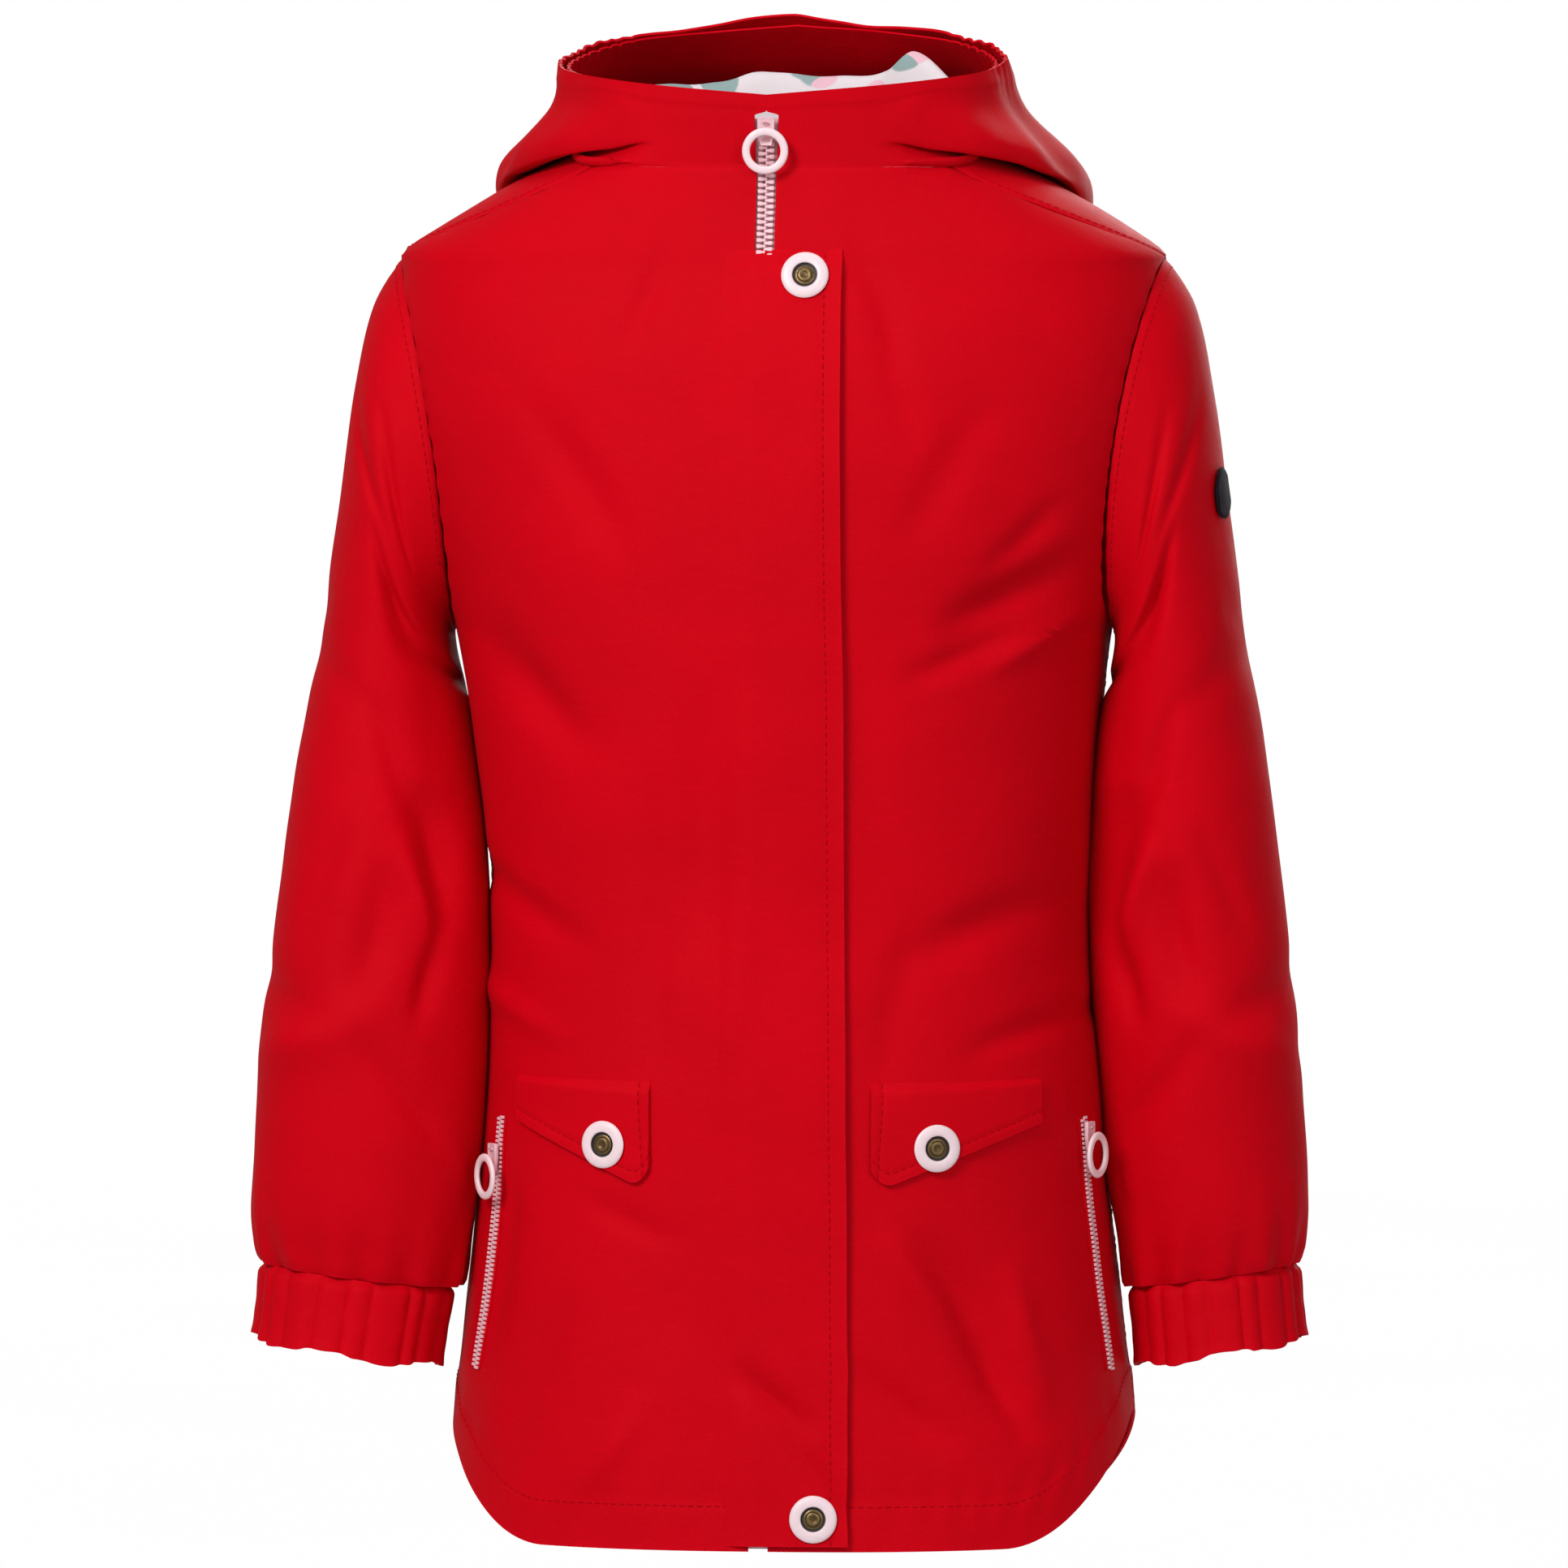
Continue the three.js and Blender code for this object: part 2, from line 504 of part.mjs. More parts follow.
function onSleeve(side, turn, along, out = 0) {
  const face = (u, v) => sleeveFace(side, u, v);
  const normal = surfaceNormal(face, turn, along, 1, 0.6).multiplyScalar(side);
  const nearSeam = 1 - smoothstep(along, 0, SEAM_REACH.direction);
  if (nearSeam > 0) {
    const edge = armholePoint(side, turn, 0);
    const angle = THREE.MathUtils.radToDeg(Math.atan2(edge.x, -edge.y));
    const torso = onTorso(angle, edge.z).normal;
    const shared = smoothstep(torso.dot(normal), 0.2, 0.7) * nearSeam;
    normal.lerp(torso, shared).normalize();
  }
  return { point: face(turn, along).addScaledVector(normal, out), normal };
}

function addSleeve(name, side) {
  const turns = steps(0, 360, SLEEVE_COLUMNS).slice(0, -1);
  addCloth(name, 'shell', CLOTH, (turn, along) => onSleeve(side, turn, along), turns, SLEEVE_ROWS, true);
}

// Outer face of a cuff: share 0 at the sleeve, 1 at its open end
function cuffFace(side, turn, share) {
  const c = Math.cos(degToRad(turn));
  const s = Math.sin(degToRad(turn));
  const top = SLEEVE.at(-1);
  const value = (name) => lerp(top[name], CUFF[name], share);
  const pleat = Math.cos(degToRad(CUFF_PLEATS * turn));
  const wave = CUFF_HEM_WAVE.height * share
    * Math.sin(degToRad(CUFF_HEM_WAVE.waves * turn + CUFF_HEM_WAVE.turn));
  const swell = 1 + (CUFF_PLEAT_DEPTH * pleat) / value('depth');
  const swung = side < 0 ? 1 : 0;
  const innerX = value('inX') - swung * value('tuck') + side * column(TORSO, 'z', 'sway', value('inZ'));
  return new THREE.Vector3(
    side * ((value('outX') + innerX) / 2 + ((value('outX') - innerX) / 2) * c * swell),
    value('midY') - swung * value('swing') - value('depth') * s * swell,
    (value('outZ') + value('inZ')) / 2 + ((value('outZ') - value('inZ')) / 2) * c + wave,
  );
}

function addCuff(name, side) {
  const face = (turn, share) => {
    const normal = surfaceNormal((u, v) => cuffFace(side, u, v), turn, share, 5, 0.02);
    return { point: cuffFace(side, turn, share), normal: normal.multiplyScalar(side) };
  };
  const turns = steps(0, 360, 3 * CUFF_PLEATS).slice(0, -1);
  addCloth(name, 'shell', CUFF_CLOTH, face, turns, CUFF_ROWS, true);
}

// Rim of the hood's opening, an oval that rises to the back
function rimPoint(angle) {
  const turn = degToRad(angle);
  const away = Math.abs(THREE.MathUtils.euclideanModulo(angle + 180, 360) - 180);
  return new THREE.Vector3(
    RIM.halfWidth * Math.sin(turn),
    RIM.midY - RIM.halfDepth * Math.cos(turn),
    column(RIM_HEIGHT, 'angle', 'z', away),
  );
}

// Section of the hood at an angle: up from the neck seam in front; elsewhere it rolls out over
// the shoulder or down the back, turns at the lowest fold and comes up to the rim
function hoodSection(angle) {
  const away = Math.abs(THREE.MathUtils.euclideanModulo(angle + 180, 360) - 180);
  const value = (name) => column(HOOD, 'angle', name, away);
  const polar = (radius, z) => new THREE.Vector3(
    radius * Math.sin(degToRad(angle)),
    -radius * Math.cos(degToRad(angle)),
    z,
  );
  const neckZ = neckHeight(angle);
  const neck = torsoFace(angle, neckZ);
  neck.z += SEAM_GAP;
  const rim = rimPoint(angle);
  const outward = polar(1, 0);
  const roll = neck.clone().addScaledVector(outward, HOOD_ROLL / 4);
  roll.z += HOOD_ROLL;
  const { all, back, backFrom, backTo } = HOOD_STAND_OFF;
  const standOff = all + back * smoothstep(away, backFrom, backTo);
  const lays = HOOD_LAY_SHARES.map(
    (share) => onTorso(angle, lerp(neckZ, value('foldZ') + 2, share), standOff).point,
  );
  const upper = polar(value('upperR'), value('upperZ'));
  const folded = [
    neck, roll, ...lays,
    polar(value('foldR'), value('foldZ')),
    polar(value('bellyR'), value('bellyZ')),
    upper, mix(upper, rim, HOOD_UPPER_SHARE), rim,
  ];
  const share = smoothstep(away, HOOD_FOLD_START, HOOD_FOLD_FULL);
  return folded.map((point, i) => mix(mix(neck, rim, STAND_SHARES[i]), point, share));
}

function hoodFace(angle, v) {
  const section = new THREE.CatmullRomCurve3(hoodSection(angle), false, 'centripetal');
  return section.getPoint(clamp(v, 0, 1));
}

function onHood(angle, v, out = 0) {
  const face = (a, b) => hoodFace(a, b);
  const inside = clamp(v, 0.004, 0.996);
  const normal = surfaceNormal(face, angle, inside, 0.8, 0.004);
  return { point: hoodFace(angle, v).addScaledVector(normal, out), normal };
}

// Share of the hood's section at one of its numbered points
function hoodShare(row) {
  return row / (STAND_SHARES.length - 1);
}

function addHood() {
  const face = (u, v) => {
    const { low, top, closeFrom, closeTo } = HOOD_SLOT;
    const slot = lerp(low, top, smoothstep(v, closeFrom, closeTo));
    return onHood(lerp(slot, 360 - slot, u), v);
  };
  addCloth('hood', 'shell', CLOTH, face, steps(0, 1, HOOD_COLUMNS), HOOD_ROWS.map(hoodShare));
}

// Band inside the rim, gathered by elastic behind each side
function addHoodFacing() {
  const face = (angle, v) => {
    const away = Math.abs(THREE.MathUtils.euclideanModulo(angle + 180, 360) - 180);
    const { gatherFrom, gatherTo, gatherFade } = FACING;
    const inGathers = smoothstep(away, gatherFrom - gatherFade, gatherFrom)
      * (1 - smoothstep(away, gatherTo - gatherFade, gatherTo));
    const phase = ((away - gatherFrom) / (gatherTo - gatherFrom)) * 2 * Math.PI * FACING_GATHERS;
    const inward = FACING_GATHER_DEPTH * inGathers * (1 - Math.cos(phase));
    return onHood(angle, v, -(CLOTH + FACING.behind + inward));
  };
  const side = steps(FACING.gatherFrom, FACING.gatherTo, 2 * FACING_GATHERS);
  const middle = steps(FACING.gatherTo, 360 - FACING.gatherTo, FACING_BACK_COLUMNS).slice(1, -1);
  const other = side.map((angle) => 360 - angle).reverse();
  const angles = [FACING.from, ...side, ...middle, ...other, FACING.to];
  addCloth('hood_facing', 'shell', LINING_CLOTH, face, angles, FACING_ROWS.map(hoodShare));
}

// Lining behind the neck: up from the neck seam, over a wavy fold and down into the hood
function addHoodLining() {
  const face = (angle, v) => {
    const neck = torsoSmooth(angle, neckHeight(angle));
    const top = column(LINING_TOP, 'angle', 'z', angle);
    const outward = new THREE.Vector3(Math.sin(degToRad(angle)), -Math.cos(degToRad(angle)), 0);
    const points = LINING_SECTION.map(({ out, share, drop }) => neck.clone()
      .setZ(top * share - drop)
      .addScaledVector(outward, out - CLOTH - LAID_ON_GAP - LINING_CLOTH));
    return new THREE.CatmullRomCurve3(points, false, 'centripetal').getPoint(clamp(v, 0, 1));
  };
  const onLining = (angle, v) => {
    const inside = clamp(v, 0.01, 0.99);
    const normal = surfaceNormal(face, angle, inside, 0.8, 0.01).negate();
    return { point: face(angle, v), normal };
  };
  const angles = steps(LINING_TOP[0].angle, LINING_TOP.at(-1).angle, LINING_COLUMNS);
  addCloth('hood_lining', 'lining', LINING_CLOTH, onLining, angles, LINING_ROWS);
}

function addStormFlap() {
  const face = (u, z) => {
    const share = (z - STORM_FLAP.topZ) / (HEM_Z - STORM_FLAP.topZ);
    const x = lerp(STORM_FLAP.innerX, lerp(STORM_FLAP.topX, STORM_FLAP.hemX, share), u);
    return onTorso(angleAtX(x, z), z, STORM_FLAP.lift + FLAP_CLOTH);
  };
  const rows = steps(HEM_Z + STORM_FLAP.hemRise, STORM_FLAP.topZ, STORM_FLAP_ROWS);
  addCloth('storm_flap', 'shell', FLAP_CLOTH, face, steps(0, 1, 3), rows);
}

// Pocket flap with a rounded inner corner and a lower edge that rises outwards
function addPocketFlap(name, side) {
  const face = (u, share) => {
    const outerX = side > 0 ? POCKET_FLAP.leftX : POCKET_FLAP.rightX;
    const x = side * lerp(POCKET_FLAP.innerX, outerX, u);
    const corner = Math.max(0, 1 - u / POCKET_CORNER.share);
    const full = lerp(POCKET_FLAP.innerDrop, POCKET_FLAP.outerDrop, u);
    const drop = full - POCKET_CORNER.rise * corner * corner;
    const z = POCKET_FLAP.topZ - drop * (1 - share);
    return onTorso(angleAtX(x, z), z, LAID_ON_GAP + FLAP_CLOTH);
  };
  const us = side > 0 ? POCKET_FLAP_COLUMNS : [...POCKET_FLAP_COLUMNS].reverse();
  addCloth(name, 'shell', FLAP_CLOTH, face, us, steps(0, 1, 4));
}

// Point in the middle of the front closure, on the torso or on the standing front of the hood
function onClosure(x, z, out) {
  if (z <= NECK_FRONT_Z) {
    return onTorso(angleAtX(x, z), z, out);
  }
  const angle = angleAtX(x, NECK_FRONT_Z);
  const { point, normal } = onTorso(angle, NECK_FRONT_Z, out);
  const rim = rimPoint(angle).addScaledVector(normal, out);
  const share = (z - NECK_FRONT_Z) / (rim.z - NECK_FRONT_Z);
  return { point: mix(point, rim, share), normal };
}

function addMainZip() {
  const chain = (x, z) => onClosure(x, z, CHAIN_PROUD);
  const rows = [...SKIRT_ROWS.slice(1), ...ARMHOLE_ROWS, ...SHOULDER_ROWS, 0, CHAIN_TOP_Z];
  addCloth('main_zip_chain', 'zip', CHAIN_DEPTH, chain, [-CHAIN_WIDTH / 2, CHAIN_WIDTH / 2], rows);
  const tape = (x, z) => onClosure(x, z, CHAIN_PROUD - CHAIN_DEPTH - LAID_ON_GAP);
  addCloth('main_zip_tape', 'zip', TAPE_CLOTH, tape, steps(-TAPE_HALF, TAPE_HALF, 4), rows);
}

function pocketZipAngle(side, z) {
  const share = (POCKET_ZIP.topZ - z) / (POCKET_ZIP.topZ - POCKET_ZIP.lowZ);
  return POCKET_ZIP[side] + Math.sign(POCKET_ZIP[side]) * POCKET_ZIP.turnOut * share;
}

function addPocketZip(side) {
  const { width } = POCKET_ZIP;
  const face = (x, z) => {
    const across = THREE.MathUtils.radToDeg(x / column(TORSO, 'z', 'side', z));
    return onTorso(pocketZipAngle(side, z) + across, z, LAID_ON_GAP + POCKET_ZIP.depth);
  };
  const rows = steps(POCKET_ZIP.lowZ, POCKET_ZIP.topZ, POCKET_ZIP_ROWS);
  addCloth(`pocket_zip_${side}`, 'zip', POCKET_ZIP.depth, face, [-width / 2, width / 2], rows);
}

// Side profile of a slider: a plate with an arch that the ring hangs in, pulled out to its width
function sliderGeometry() {
  const { width, height, depth, hole, arch } = SLIDER;
  const reach = depth + hole;
  const outline = new THREE.Shape();
  outline.moveTo(0, -height / 2);
  outline.lineTo(depth, -height / 2);
  outline.lineTo(depth, -arch);
  outline.lineTo(reach, -arch);
  outline.absarc(reach, 0, arch, -Math.PI / 2, Math.PI / 2, false);
  outline.lineTo(depth, arch);
  outline.lineTo(depth, height / 2);
  outline.lineTo(0, height / 2);
  outline.closePath();
  const eye = new THREE.Path();
  eye.absarc(reach, 0, hole, 0, 2 * Math.PI, true);
  outline.holes.push(eye);
  const pull = { depth: width, bevelEnabled: false, curveSegments: ARCH_SEGMENTS };
  const geometry = new THREE.ExtrudeGeometry(outline, pull);
  geometry.translate(0, 0, -width / 2);
  geometry.applyMatrix4(new THREE.Matrix4().makeBasis(
    new THREE.Vector3(0, -1, 0),
    new THREE.Vector3(0, 0, 1),
    new THREE.Vector3(-1, 0, 0),
  ));
  return geometry;
}

function ringGeometry() {
  const { outer, inner, depth, bevel } = RING;
  const half = depth / 2;
  const profile = [
    [inner, 0], [inner + bevel, -half], [outer - bevel, -half],
    [outer, 0], [outer - bevel, half], [inner + bevel, half], [inner, 0],
  ].map(([radius, height]) => new THREE.Vector2(radius, height));
  return new THREE.LatheGeometry(profile, ROUND_SEGMENTS);
}

// Slider on its zip with a ring that hangs from its arch
function addPull(name, seat) {
  const place = new THREE.Group();
  const level = seat.normal.clone().setZ(0).normalize();
  place.position.copy(seat.point).addScaledVector(level, SLIDER.seat);
  place.rotation.z = Math.atan2(seat.normal.x, -seat.normal.y);
  jacket.add(place);
  addMesh(`${name}_slider`, 'zip', sliderGeometry(), place);
  const ring = addMesh(`${name}_ring`, 'trim', ringGeometry(), place);
  ring.position.set(0, -(SLIDER.depth + SLIDER.hole), -(RING.outer + RING.inner) / 2);
}

function addSnap({ name, x, z, over }) {
  const cover = over === 'flap' ? STORM_FLAP.lift : LAID_ON_GAP;
  const { point, normal } = onTorso(angleAtX(x, z), z, cover + FLAP_CLOTH + SNAP_SEAT);
  const place = new THREE.Group();
  place.position.copy(point);
  place.quaternion.setFromUnitVectors(new THREE.Vector3(0, 1, 0), normal);
  jacket.add(place);
  const turned = (profile) => new THREE.LatheGeometry(
    profile.map(([across, height]) => new THREE.Vector2(across, height)),
    ROUND_SEGMENTS,
  );
  addMesh(`snap_cap_${name}`, 'trim', turned(SNAP_CAP), place);
  addMesh(`snap_stud_${name}`, 'stud', turned(SNAP_STUD), place);
}

function addBadge() {
  const face = (u, v) => {
    const turn = BADGE.turn + u * BADGE.halfTurn;
    const along = BADGE.along - v * (BADGE.height / 2) * Math.sqrt(1 - BADGE.narrowing * u * u);
    return onSleeve(1, turn, along, LAID_ON_GAP + BADGE.depth);
  };
  addCloth('sleeve_badge', 'badge', BADGE.depth, face, steps(-1, 1, 8), steps(-1, 1, 4));
}

addFront('front_left', 1);
addFront('front_right', -1);
addBack();
addSleeve('sleeve_left', 1);
addSleeve('sleeve_right', -1);
addCuff('cuff_left', 1);
addCuff('cuff_right', -1);
addHood();
addHoodFacing();
addHoodLining();
addStormFlap();
addPocketFlap('pocket_flap_left', 1);
addPocketFlap('pocket_flap_right', -1);
addMainZip();
addPull('main', onClosure(0, SLIDER_Z, CHAIN_PROUD));
for (const side of ['left', 'right']) {
  addPocketZip(side);
  const z = POCKET_SLIDER_Z[side];
  const proud = LAID_ON_GAP + POCKET_ZIP.depth;
  addPull(`pocket_${side}`, onTorso(pocketZipAngle(side, z), z, proud));
}
SNAPS.forEach(addSnap);
addBadge();

export default jacket;
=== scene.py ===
import json
import math

import bmesh
import bpy
import numpy as np
from mathutils import Matrix, Vector


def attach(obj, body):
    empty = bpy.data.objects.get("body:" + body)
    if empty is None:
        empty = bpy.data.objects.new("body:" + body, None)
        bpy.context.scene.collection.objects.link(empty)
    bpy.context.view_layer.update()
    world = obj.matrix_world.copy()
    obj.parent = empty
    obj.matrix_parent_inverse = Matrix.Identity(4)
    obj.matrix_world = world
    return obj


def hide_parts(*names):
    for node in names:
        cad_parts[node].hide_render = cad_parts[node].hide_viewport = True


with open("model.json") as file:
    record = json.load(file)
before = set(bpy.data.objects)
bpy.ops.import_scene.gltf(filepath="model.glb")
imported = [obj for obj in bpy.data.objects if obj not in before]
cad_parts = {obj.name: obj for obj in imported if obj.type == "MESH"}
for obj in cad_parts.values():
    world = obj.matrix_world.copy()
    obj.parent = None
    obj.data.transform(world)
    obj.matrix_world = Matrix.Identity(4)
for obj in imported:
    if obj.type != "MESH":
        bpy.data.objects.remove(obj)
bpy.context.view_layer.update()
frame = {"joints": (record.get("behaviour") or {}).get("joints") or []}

bl_info = {
    "name": "Child's rain jacket",
    "version": (1, 0, 0),
    "blender": (4, 5, 0),
    "location": "View3D > Sidebar > Jacket",
    "description": "Dresses the packed rain jacket with fine cloth, zips, snaps and stitching",
    "category": "Object",
}

BODY = "jacket"
MM, PER_METRE = 0.001, 1000


def table(names, rows):
    """Columns by name from a short table."""
    return dict(zip(names.split(), np.array(rows, float).T))


# The solids' own tables, in millimetres and degrees
OVAL_POWER = 2.35
TORSO = table("z side front back sway", [
    (-550, 134, 104, 101, 4), (-476, 129, 101, 98, 4), (-439, 125, 99, 95, 4), (-400, 121, 98, 92, 4),
    (-366, 118.8, 98, 91, 4.5), (-330, 116, 97, 90, 3.5), (-299, 115, 96, 91, 2.5), (-262, 117, 97, 94, 2),
    (-222, 121, 98, 98, 1), (-188, 126, 98, 101, 0), (-150, 134, 97, 103, 0), (-110, 141, 94, 102, 0),
    (-75, 147, 88, 96, 0), (-47, 147, 79, 85, 0), (-36, 133, 75.5, 76, 0), (-20, 106, 70.5, 62, 0),
    (-8, 82, 68, 51, 0), (0, 68, 67, 46, 0), (6, 62, 66, 43, 0),
])
SHOULDER_SEAM = table("z angle", [(-46.6, 89), (-42, 82), (-26, 67), (-12, 55), (4, 55)])
ARM_TOP_X, ARM_TOP_Z, ARM_LOW_X, ARM_LOW_Z, ARM_DEPTH, ARM_SCOOP = 147, -47, 126, -188, 50, 6
SLEEVE = table("along outX outZ inX inZ depth midY swing tuck", [
    (0, 147, -47, 126, -188, 50, 0, 0, 0), (22, 158, -66, 127.2, -190, 49.5, 0, 0, 0),
    (56, 165, -98, 127.6, -193, 48.5, -1, 1, 0), (92, 170, -135, 126.8, -199, 47, -1, 2.5, 0),
    (130, 175, -172, 124.4, -210, 45.5, -1, 5, 0.1), (163, 180, -205, 122.1, -226, 44, -1, 9, 0.2),
    (200, 186, -242, 119.3, -254, 43, -2, 14, 0.5), (238, 191, -280, 117.1, -288, 42, -2, 19, 1),
    (273, 195.5, -315, 117.3, -323, 41, -2, 23, 1.5), (308, 199, -350, 119.6, -358, 40, -2, 26, 2),
    (343, 201, -385, 122.4, -394, 38, -2, 28, 2.2), (368, 202, -410, 126, -419, 35.5, -2, 29, 2.2),
    (385, 200.5, -425, 128, -434, 32, -2, 29, 2), (393, 198.5, -432, 129, -441, 30, -2, 29, 1),
])
SLEEVE_END, SLEEVE_GATHERS = 393, 26
CUFF = {"outX": 201, "outZ": -460, "inX": 132, "inZ": -471, "depth": 31.5, "midY": -3, "swing": 29,
        "tuck": -1.5}
CUFF_PLEATS = 20
NECK_FRONT_Z, NECK_SIDE_RISE, NECK_BACK_RISE = -12, 12, 2
HEM_Z, HEM_SIDE_RISE, HEM_EVEN_Z, HEM_RISE_WIDTH = -535, 46, -470, 44
ZIP_SLOT, SEAM_GAP = 3.7, 0.3
HOOD = table("angle foldR foldZ bellyR bellyZ upperR upperZ", [
    (0, 69, -5, 69, 3, 69.5, 13), (45, 80, -5, 81, 2, 80, 12), (60, 92, -8, 93, -2, 85, 11),
    (75, 101, -12.5, 101, -6, 88, 11), (90, 108, -17, 104, -9, 90, 10),
    (105, 116, -25, 116, -14, 94, 9), (120, 128, -41, 131, -26, 101, 8),
    (135, 136, -82, 147, -54, 109, 5), (150, 131, -119, 151, -82, 112, 2),
    (165, 123, -137, 149, -96, 110, 0), (180, 120, -141, 147, -99, 108, -1),
])
HOOD_FOLD_START, HOOD_FOLD_FULL, HOOD_ROLL = 31, 50, 2.6
# Half the gap in front, in degrees: over the zip, and in the rim above it, where it all but closes
HOOD_SLOT, RIM_SLOT = 3.3, 0.02
HOOD_LAY_SHARES = (0.08, 0.28, 0.5, 0.72, 0.93)
STAND_SHARES = np.array([0, 0.04, 0.08, 0.12, 0.16, 0.2, 0.25, 0.33, 0.45, 0.62, 0.86, 1])
RIM_HALF_WIDTH, RIM_HALF_DEPTH, RIM_MID_Y = 85, 63, -7
RIM_HEIGHT = table("angle z", [(0, 15.5), (45, 21), (90, 27.5), (135, 38.5), (180, 44.5)])
LINING_TOP = table("angle z", [
    (108, 17), (115, 19), (131, 31.5), (140, 24), (150, 21.5), (173, 22.5), (195, 23), (214, 19),
    (242, 18.5), (250, 17),
])
LINING_SECTION = table("out share drop", [
    (-1.5, 0, 14), (-1.5, 0, -2), (0.5, 0.6, 0), (4, 1, 1.5), (7, 1, 0), (10, 1, 3), (12, 0.6, 0),
    (12.5, 0.25, 0),
])

# Inside the hood: the facing under the shell, how far it follows the rim's folds, and the lining
FACING_INSET, FACING_FOLD, LINING_INSET = 2.3, 2.0437, 2.85

# Storm flap: its sewn and free edges, how much it widens to the hem, and its ends
STORM_FIXED_X, STORM_FREE_X, STORM_WIDENS, STORM_TOP_Z, STORM_LOW_Z = -17, 29.5, 4.5, -43, -533
# Pocket flaps: inner edge, width by side, top, drops of the two ends, share and cut of the rounded corner
FLAP_INNER_X, FLAP_WIDTH, FLAP_TOP_Z = 42, {1: 61, -1: 53}, -357.5
FLAP_INNER_DROP, FLAP_OUTER_DROP, FLAP_TIP, FLAP_CORNER, FLAP_THICKNESS = 42, 17, 0.16, 9, 1.5
# Zips: ends of the teeth and the tape, the pocket zips' angle by side and its turn, tooth sizes
TEETH_LOW_Z, TEETH_TOP_Z, TAPE_LOW_Z, TAPE_TOP_Z = -532, 5.5, -534, 6.5
POCKET_ZIP_LOW_Z, POCKET_ZIP_TOP_Z, POCKET_ZIP_ANGLE, POCKET_ZIP_TURN = -471, -374, {1: 71, -1: 64}, 3
TOOTH_REACH, SMALL_TOOTH = 2.35, 0.72
# Middle of a ring pull's bar, and the height of its pivot over the back of the slider
RING_RADIUS, ARCH_HEIGHT = 7.3, 4.3
# Patch on the left sleeve: its middle along and round, and half its sizes
BADGE_ALONG, BADGE_TURN, BADGE_HALF_LENGTH, BADGE_HALF_TURN = 92, 19, 9.5, 12

# Creases of the torso seen from the front: place, half length, half width, lift, lean from upright
FRONT_CREASES = table("x z length width lift lean", [
    (94, -174, 34, 7, -3.2, 58), (78, -448, 42, 9, -2.6, -30), (-24, -262, 60, 9, -1.4, 3),
    (6, -478, 24, 6, -1.8, -42), (-88, -210, 40, 9, -2.2, -40), (84, -300, 36, 8, -1.8, 66),
    (104, -190, 26, 4, 1.6, 54), (76, -196, 30, 5, -1.5, 62), (98, -152, 26, 5, -1.3, 48),
    (62, -436, 30, 5, 1.3, -34), (92, -476, 26, 5, -1.6, -22), (100, -455, 34, 5, 1.4, -14),
    (54, -480, 30, 6, -1.2, -52), (-40, -300, 70, 7, -0.9, -2), (-12, -330, 54, 6, 0.7, 4),
    (-70, -130, 44, 8, -1.1, -30), (70, -128, 40, 8, -1.0, 34), (-96, -290, 42, 6, -1.4, -58),
    (-100, -330, 34, 5, 1.1, -64), (-88, -470, 40, 7, -1.5, 24), (-60, -500, 34, 6, 1.0, 38),
    (-104, -430, 50, 6, -1.3, 10), (38, -220, 60, 8, -0.7, -6), (52, -330, 46, 7, -0.8, 12),
    (100, -340, 30, 5, -1.2, 70), (-52, -410, 30, 5, -0.7, -70), (20, -505, 26, 5, -1.1, -36),
    (44, -62, 30, 5, -0.9, -24), (-44, -60, 28, 5, -0.8, 26), (52, -92, 34, 6, -0.7, -12),
])
BACK_CREASES = table("x z length width lift lean", [
    (-70, -250, 50, 9, -2.6, 22), (66, -300, 60, 10, -2.8, -12), (12, -400, 70, 12, 2.4, 4),
    (-64, -440, 55, 11, 2.6, -8), (88, -190, 36, 7, -2.4, -52), (-90, -180, 34, 6, -2.0, 50),
    (84, -216, 34, 5, 1.3, -58), (-30, -300, 52, 7, -1.2, 10), (34, -350, 60, 8, -1.3, -6),
    (88, -420, 44, 8, -1.7, -18), (-96, -320, 40, 6, -1.5, 60), (-20, -470, 46, 8, -1.5, -10),
    (60, -480, 40, 8, 1.4, 14), (-84, -500, 34, 7, -1.2, 26), (20, -230, 50, 8, -0.9, 4),
    (100, -300, 34, 6, -1.4, -62), (0, -510, 40, 6, 0.9, 80),
])
# Creases of a sleeve: distance along, turn from the outer line through the front, half sizes, lift, lean
SLEEVE_CREASES = table("along turn length width lift lean", [
    (226, 132, 34, 7, -3.4, 8), (258, 96, 30, 8, -2.2, -14), (205, 250, 36, 8, -2.8, 10),
    (300, 60, 40, 9, 1.8, -60), (120, 128, 40, 9, -2.6, 34), (96, 112, 30, 6, -1.6, 42),
    (150, 148, 34, 6, 1.5, 28), (244, 122, 30, 5, 1.8, 12), (272, 128, 26, 5, -1.8, -10),
    (190, 110, 34, 6, -1.3, 24), (240, 64, 30, 6, -1.0, -24), (318, 118, 34, 6, -1.3, 46),
    (60, 70, 34, 7, -1.1, 66), (44, 110, 30, 5, -1.2, 56), (160, 40, 52, 9, -0.8, 80),
    (286, 34, 50, 8, -0.9, 76), (236, 234, 30, 5, 1.5, -16), (268, 250, 30, 6, -2.0, 8),
    (180, 226, 32, 6, -1.4, -28), (120, 236, 36, 8, -1.8, -36), (70, 262, 34, 6, -1.2, -50),
    (306, 236, 34, 6, -1.2, 40), (300, 300, 44, 8, -0.9, 78), (140, 310, 50, 9, -0.7, -80),
])
# How far the tables' lifts are raised, and the sleeves' bulge beside the body
FRONT_STRENGTH, BACK_STRENGTH, SLEEVE_STRENGTH, SLEEVE_BULGE = 2.3, 1.9, 2.1, 2.4
SLEEVE_CREASE_PLACES = {**SLEEVE_CREASES, "across": np.radians(SLEEVE_CREASES["turn"]) * 40}


